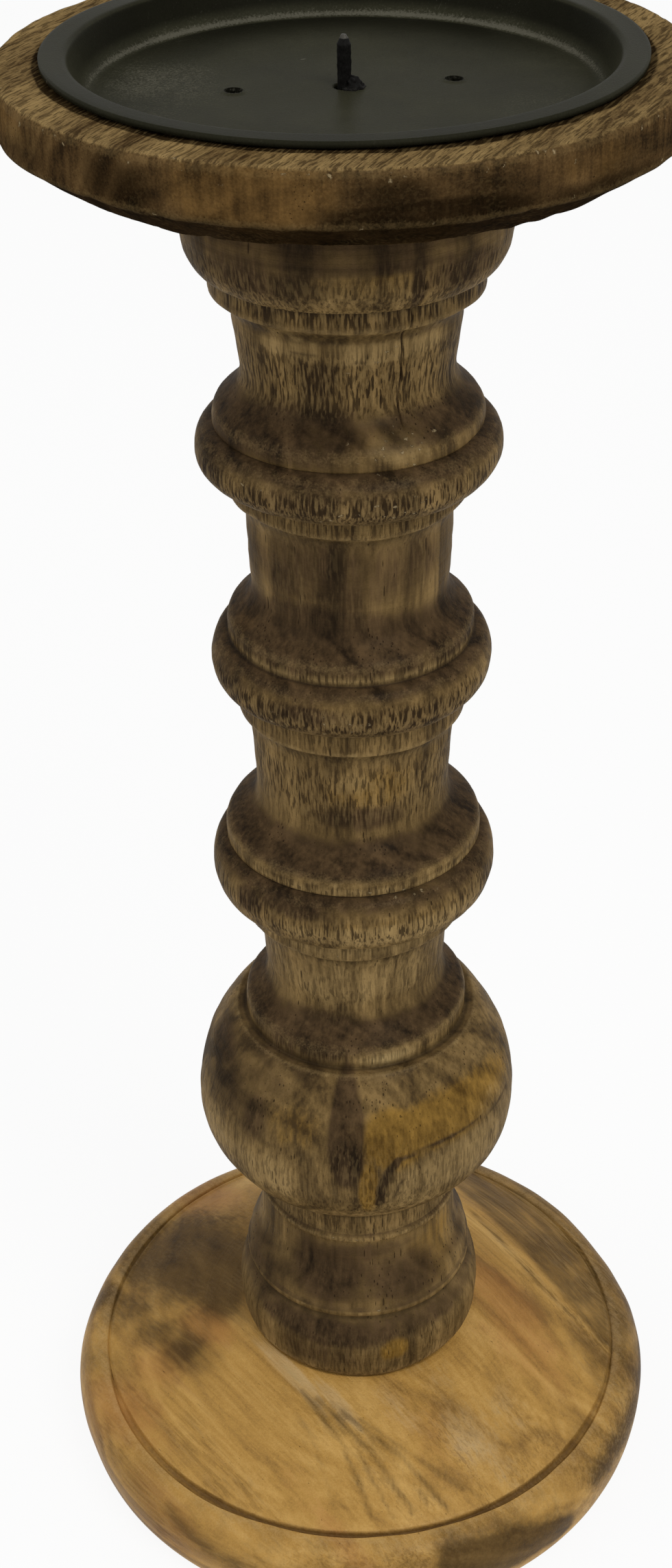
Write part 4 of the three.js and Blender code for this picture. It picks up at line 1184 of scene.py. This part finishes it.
class DriveScrews(Operator):
    """Cuts the two wood screws with their threads, crossed slots and washers"""

    bl_idname = "candle_holder.drive_screws"
    bl_label = "Drive screws"

    def execute(self, context):
        finish = zinc_plating()
        self.screw("top_screw", finish, DISC_UNDERSIDE + 4.6, 1, (2.3, 36, 5, 4.5, 1.8, 1.0, 0.9))
        self.washer("top_washer", finish, DISC_UNDERSIDE + 3.3, 2.6, 6.2, 1.0)
        self.screw("base_screw", finish, 8.0, -1, (2.7, 40, 6, 5.4, 3.0, 1.2, 1.4))
        self.washer("base_washer", finish, 8.3, 3.0, 7.8, 1.2)
        return {"FINISHED"}

    @staticmethod
    def screw(name, finish, level, way, sizes):
        """A helical thread on a shank: the radius follows a triangle wave of the height over the pitch less the turn.

        The head's crossed slot is cut where the distance from either centre line is under half its width.
        A screw that points up is turned half round the X axis, which leaves its faces pointing outwards.
        """
        shank, length, tip, head, head_height, slot, slot_depth = sizes
        outline = np.vstack([
            line((0, -length), (shank, tip - length), (shank, 0), (head, 0)),
            bezier((head, 0), (head, head_height), (shank, head_height)),
            line((0, head_height)),
        ])
        turning = Turning(outline, 330, even_turns(64), False, 0.12, None, 0.5)
        still = turning.points()
        z, r = turning.height[:, None], turning.radius[:, None]
        wave = np.abs((z / 1.9 - turning.turns / (2 * np.pi)) % 1 - 0.5) * 2
        threaded = np.clip((-4 - z) / 2, 0, 1) * np.clip((z + length - 0.5) / 2, 0, 1) * (r <= shank + 0.05)
        grid = turning.points(-0.75 * np.clip(wave * 1.5 - 0.2, 0, 1) * threaded)
        x, y = np.abs(still[..., 0]), np.abs(still[..., 1])
        inner = np.clip((shank - np.maximum(x, y)) / 0.25, 0, 1)
        top = np.clip((z - head_height + 0.4) / 0.3, 0, 1)
        cut = np.clip((slot / 2 - np.minimum(x, y)) / 0.2 + 0.5, 0, 1) * inner * top
        grid[..., 2] -= slot_depth * cut
        grid[..., 1:] *= way
        grid[..., 2] += level
        ends = line((0, 0, level - way * length), (0, 0, level + way * (head_height - slot_depth)))
        mesh = turning.mesh(name + "_cut", grid, {"dirt": cut}, ends)
        add_piece(mesh, finish, "holder", "screw_zinc", name)

    @staticmethod
    def washer(name, finish, foot, hole, radius, thickness):
        """A flat ring with edges rounded by the stamping, slightly uneven."""
        outline = line((hole, foot), (radius, foot), (radius, foot + thickness), (hole, foot + thickness))
        turning = Turning(outline, 60, even_turns(96), True, 0.12)
        mesh = turning.mesh(name + "_stamped", turning.points(0.02 * ripple(turning.points(), 4, 61)))
        add_piece(mesh, finish, "holder", "screw_zinc", name)


class StickPads(Operator):
    """Sticks the felt pads under the base, each cut a little unevenly"""

    bl_idname = "candle_holder.stick_pads"
    bl_label = "Stick pads"

    def execute(self, context):
        finish = felt_cloth()
        outline = line((0, 0), (8, 0), (8, 1.55), (0, 1.55))
        turning = Turning(outline, 60, even_turns(120), False, 0.2)
        for number in range(1, 5):
            turn = math.radians(90 * number - 45)
            centre = PAD_CIRCLE * np.array([math.cos(turn), math.sin(turn), 0])
            still = turning.points() + centre
            fuzz = 0.09 * ripple(still, 1.1, 70 + number) + 0.12 * ripple(still, 5, 80 + number)
            grid = turning.points(fuzz * np.abs(turning.normal[:, :1])) + centre
            grid[..., 2] += 0.05 * np.clip(turning.normal[:, 1:], 0, 1) * ripple(still, 0.9, 90 + number)
            grid[..., 2] = np.maximum(grid[..., 2], 0)
            name = f"felt_pad_{number}"
            mesh = turning.mesh(name + "_felt", grid, None, turning.ends + centre)
            add_piece(mesh, finish, "holder", "felt", name)
        return {"FINISHED"}


class SetStage(Operator):
    """Lays the pale floor, lights it softly and sets the camera as in the photograph"""

    bl_idname = "candle_holder.set_stage"
    bl_label = "Set stage"

    def execute(self, context):
        stage = context.scene.candle_holder.stage
        self.lay_floor(stage)
        self.surround(context.scene, stage)
        self.lamp("key_light", (0.55, -0.75, 1.15), 0.7, stage.key)
        self.lamp("fill_light", (-0.9, -0.35, 0.7), 0.8, stage.fill)
        self.set_camera(context.scene, stage)
        context.scene.view_settings.view_transform = "Standard"
        return {"FINISHED"}

    @staticmethod
    def seen(f):
        """1 for what the camera sees straight on, in a mirror or through glass."""
        path = f.node("ShaderNodeLightPath", {}, {}, "Is Camera Ray")
        return path.at_least(path.twin("Is Glossy Ray")).at_least(path.twin("Is Transmission Ray"))

    def lay_floor(self, stage):
        """A square of floor, nearly white where it is seen and still dimmed by the object's shadow."""
        reach = 4000.0
        points = line((-reach, -reach, 0), (reach, -reach, 0), (reach, reach, 0), (-reach, reach, 0))
        mesh = make_mesh("floor", points, np.array([[0, 1, 2, 3]]))
        floor = bpy.data.objects.new("floor", mesh)
        bpy.context.scene.collection.objects.link(floor)
        f = new_finish("floor")
        grain = f.noise(f.grain(0, (3, 3, 3)), 2)
        tint = f.mix(grain * 0.03, tuple(stage.floor), srgb(236, 236, 234))
        lit = f.node("ShaderNodeBsdfDiffuse", {}, {"Color": tint})
        white = f.node("ShaderNodeEmission", {}, {"Color": (1, 1, 1, 1), "Strength": 1.0})
        both = f.node("ShaderNodeMixShader", {}, {0: self.seen(f) * FLOOR_SEEN, 1: lit, 2: white})
        f.node("ShaderNodeOutputMaterial", {}, {"Surface": both})
        mesh.materials.append(f.owner)

    def surround(self, scene, stage):
        """An even white surround, at its own level for light and nearly at 1, as the floor is, where it is seen."""
        scene.world = bpy.data.worlds.new("surround")
        f = Finish(scene.world)
        seen = self.seen(f)
        strength = seen * SURROUND_SEEN + (1 - seen) * stage.surround
        light = f.node("ShaderNodeBackground", {}, {"Color": (1, 1, 1, 1), "Strength": strength})
        f.node("ShaderNodeOutputWorld", {}, {"Surface": light})

    @staticmethod
    def lamp(name, place, size, power):
        data = bpy.data.lights.new(name, "AREA")
        data.shape = "DISK"
        data.size = size
        data.energy = power
        lamp = bpy.data.objects.new(name, data)
        lamp.location = place
        lamp.rotation_euler = (Vector((0, 0, LAMP_AIM)) - Vector(place)).to_track_quat("-Z", "Y").to_euler()
        bpy.context.scene.collection.objects.link(lamp)

    @staticmethod
    def set_camera(scene, stage):
        """In front and above, pitched down by 34 degrees, with the photograph's small yaw and roll."""
        pitch, yaw, roll = CAMERA_TURNS
        ahead = Vector((math.sin(yaw) * math.cos(pitch), math.cos(yaw) * math.cos(pitch), -math.sin(pitch)))
        right = Vector((math.cos(yaw), -math.sin(yaw), 0))
        up = right.cross(ahead)
        level = right * math.cos(roll) + up * math.sin(roll)
        raised = up * math.cos(roll) - right * math.sin(roll)
        data = bpy.data.cameras.new("camera")
        data.sensor_width = 36
        data.lens = stage.lens
        data.clip_start = 0.01
        camera = bpy.data.objects.new("camera", data)
        turn = Matrix((level, raised, -ahead)).transposed().to_4x4()
        camera.matrix_world = Matrix.Translation(CAMERA_PLACE) @ turn
        scene.collection.objects.link(camera)
        scene.camera = camera


class HolderPanel(Panel):
    """Lists the settings and the steps of the candle holder"""

    bl_idname = "VIEW3D_PT_candle_holder"
    bl_label = "Candle Holder"
    bl_space_type = "VIEW_3D"
    bl_region_type = "UI"
    bl_category = "Candle Holder"

    def draw(self, context):
        settings = context.scene.candle_holder
        for group in (settings.wood, settings.metal, settings.stage):
            box = self.layout.box()
            for name in group.__annotations__:
                box.prop(group, name)
        for action in STEPS:
            self.layout.operator(action.bl_idname)


STEPS = (TurnBase, TurnStem, TurnDisc, PressPan, SetSpike, DriveScrews, StickPads, SetStage)
CLASSES = (HolderWood, HolderMetal, HolderStage, HolderSettings, *STEPS, HolderPanel)


def register():
    for cls in CLASSES:
        bpy.utils.register_class(cls)
    bpy.types.Scene.candle_holder = PointerProperty(type=HolderSettings)


def unregister():
    del bpy.types.Scene.candle_holder
    for cls in reversed(CLASSES):
        bpy.utils.unregister_class(cls)


def main():
    register()
    for action in STEPS:
        family, name = action.bl_idname.split(".")
        getattr(getattr(bpy.ops, family), name)()


if __name__ == "__main__":
    main()
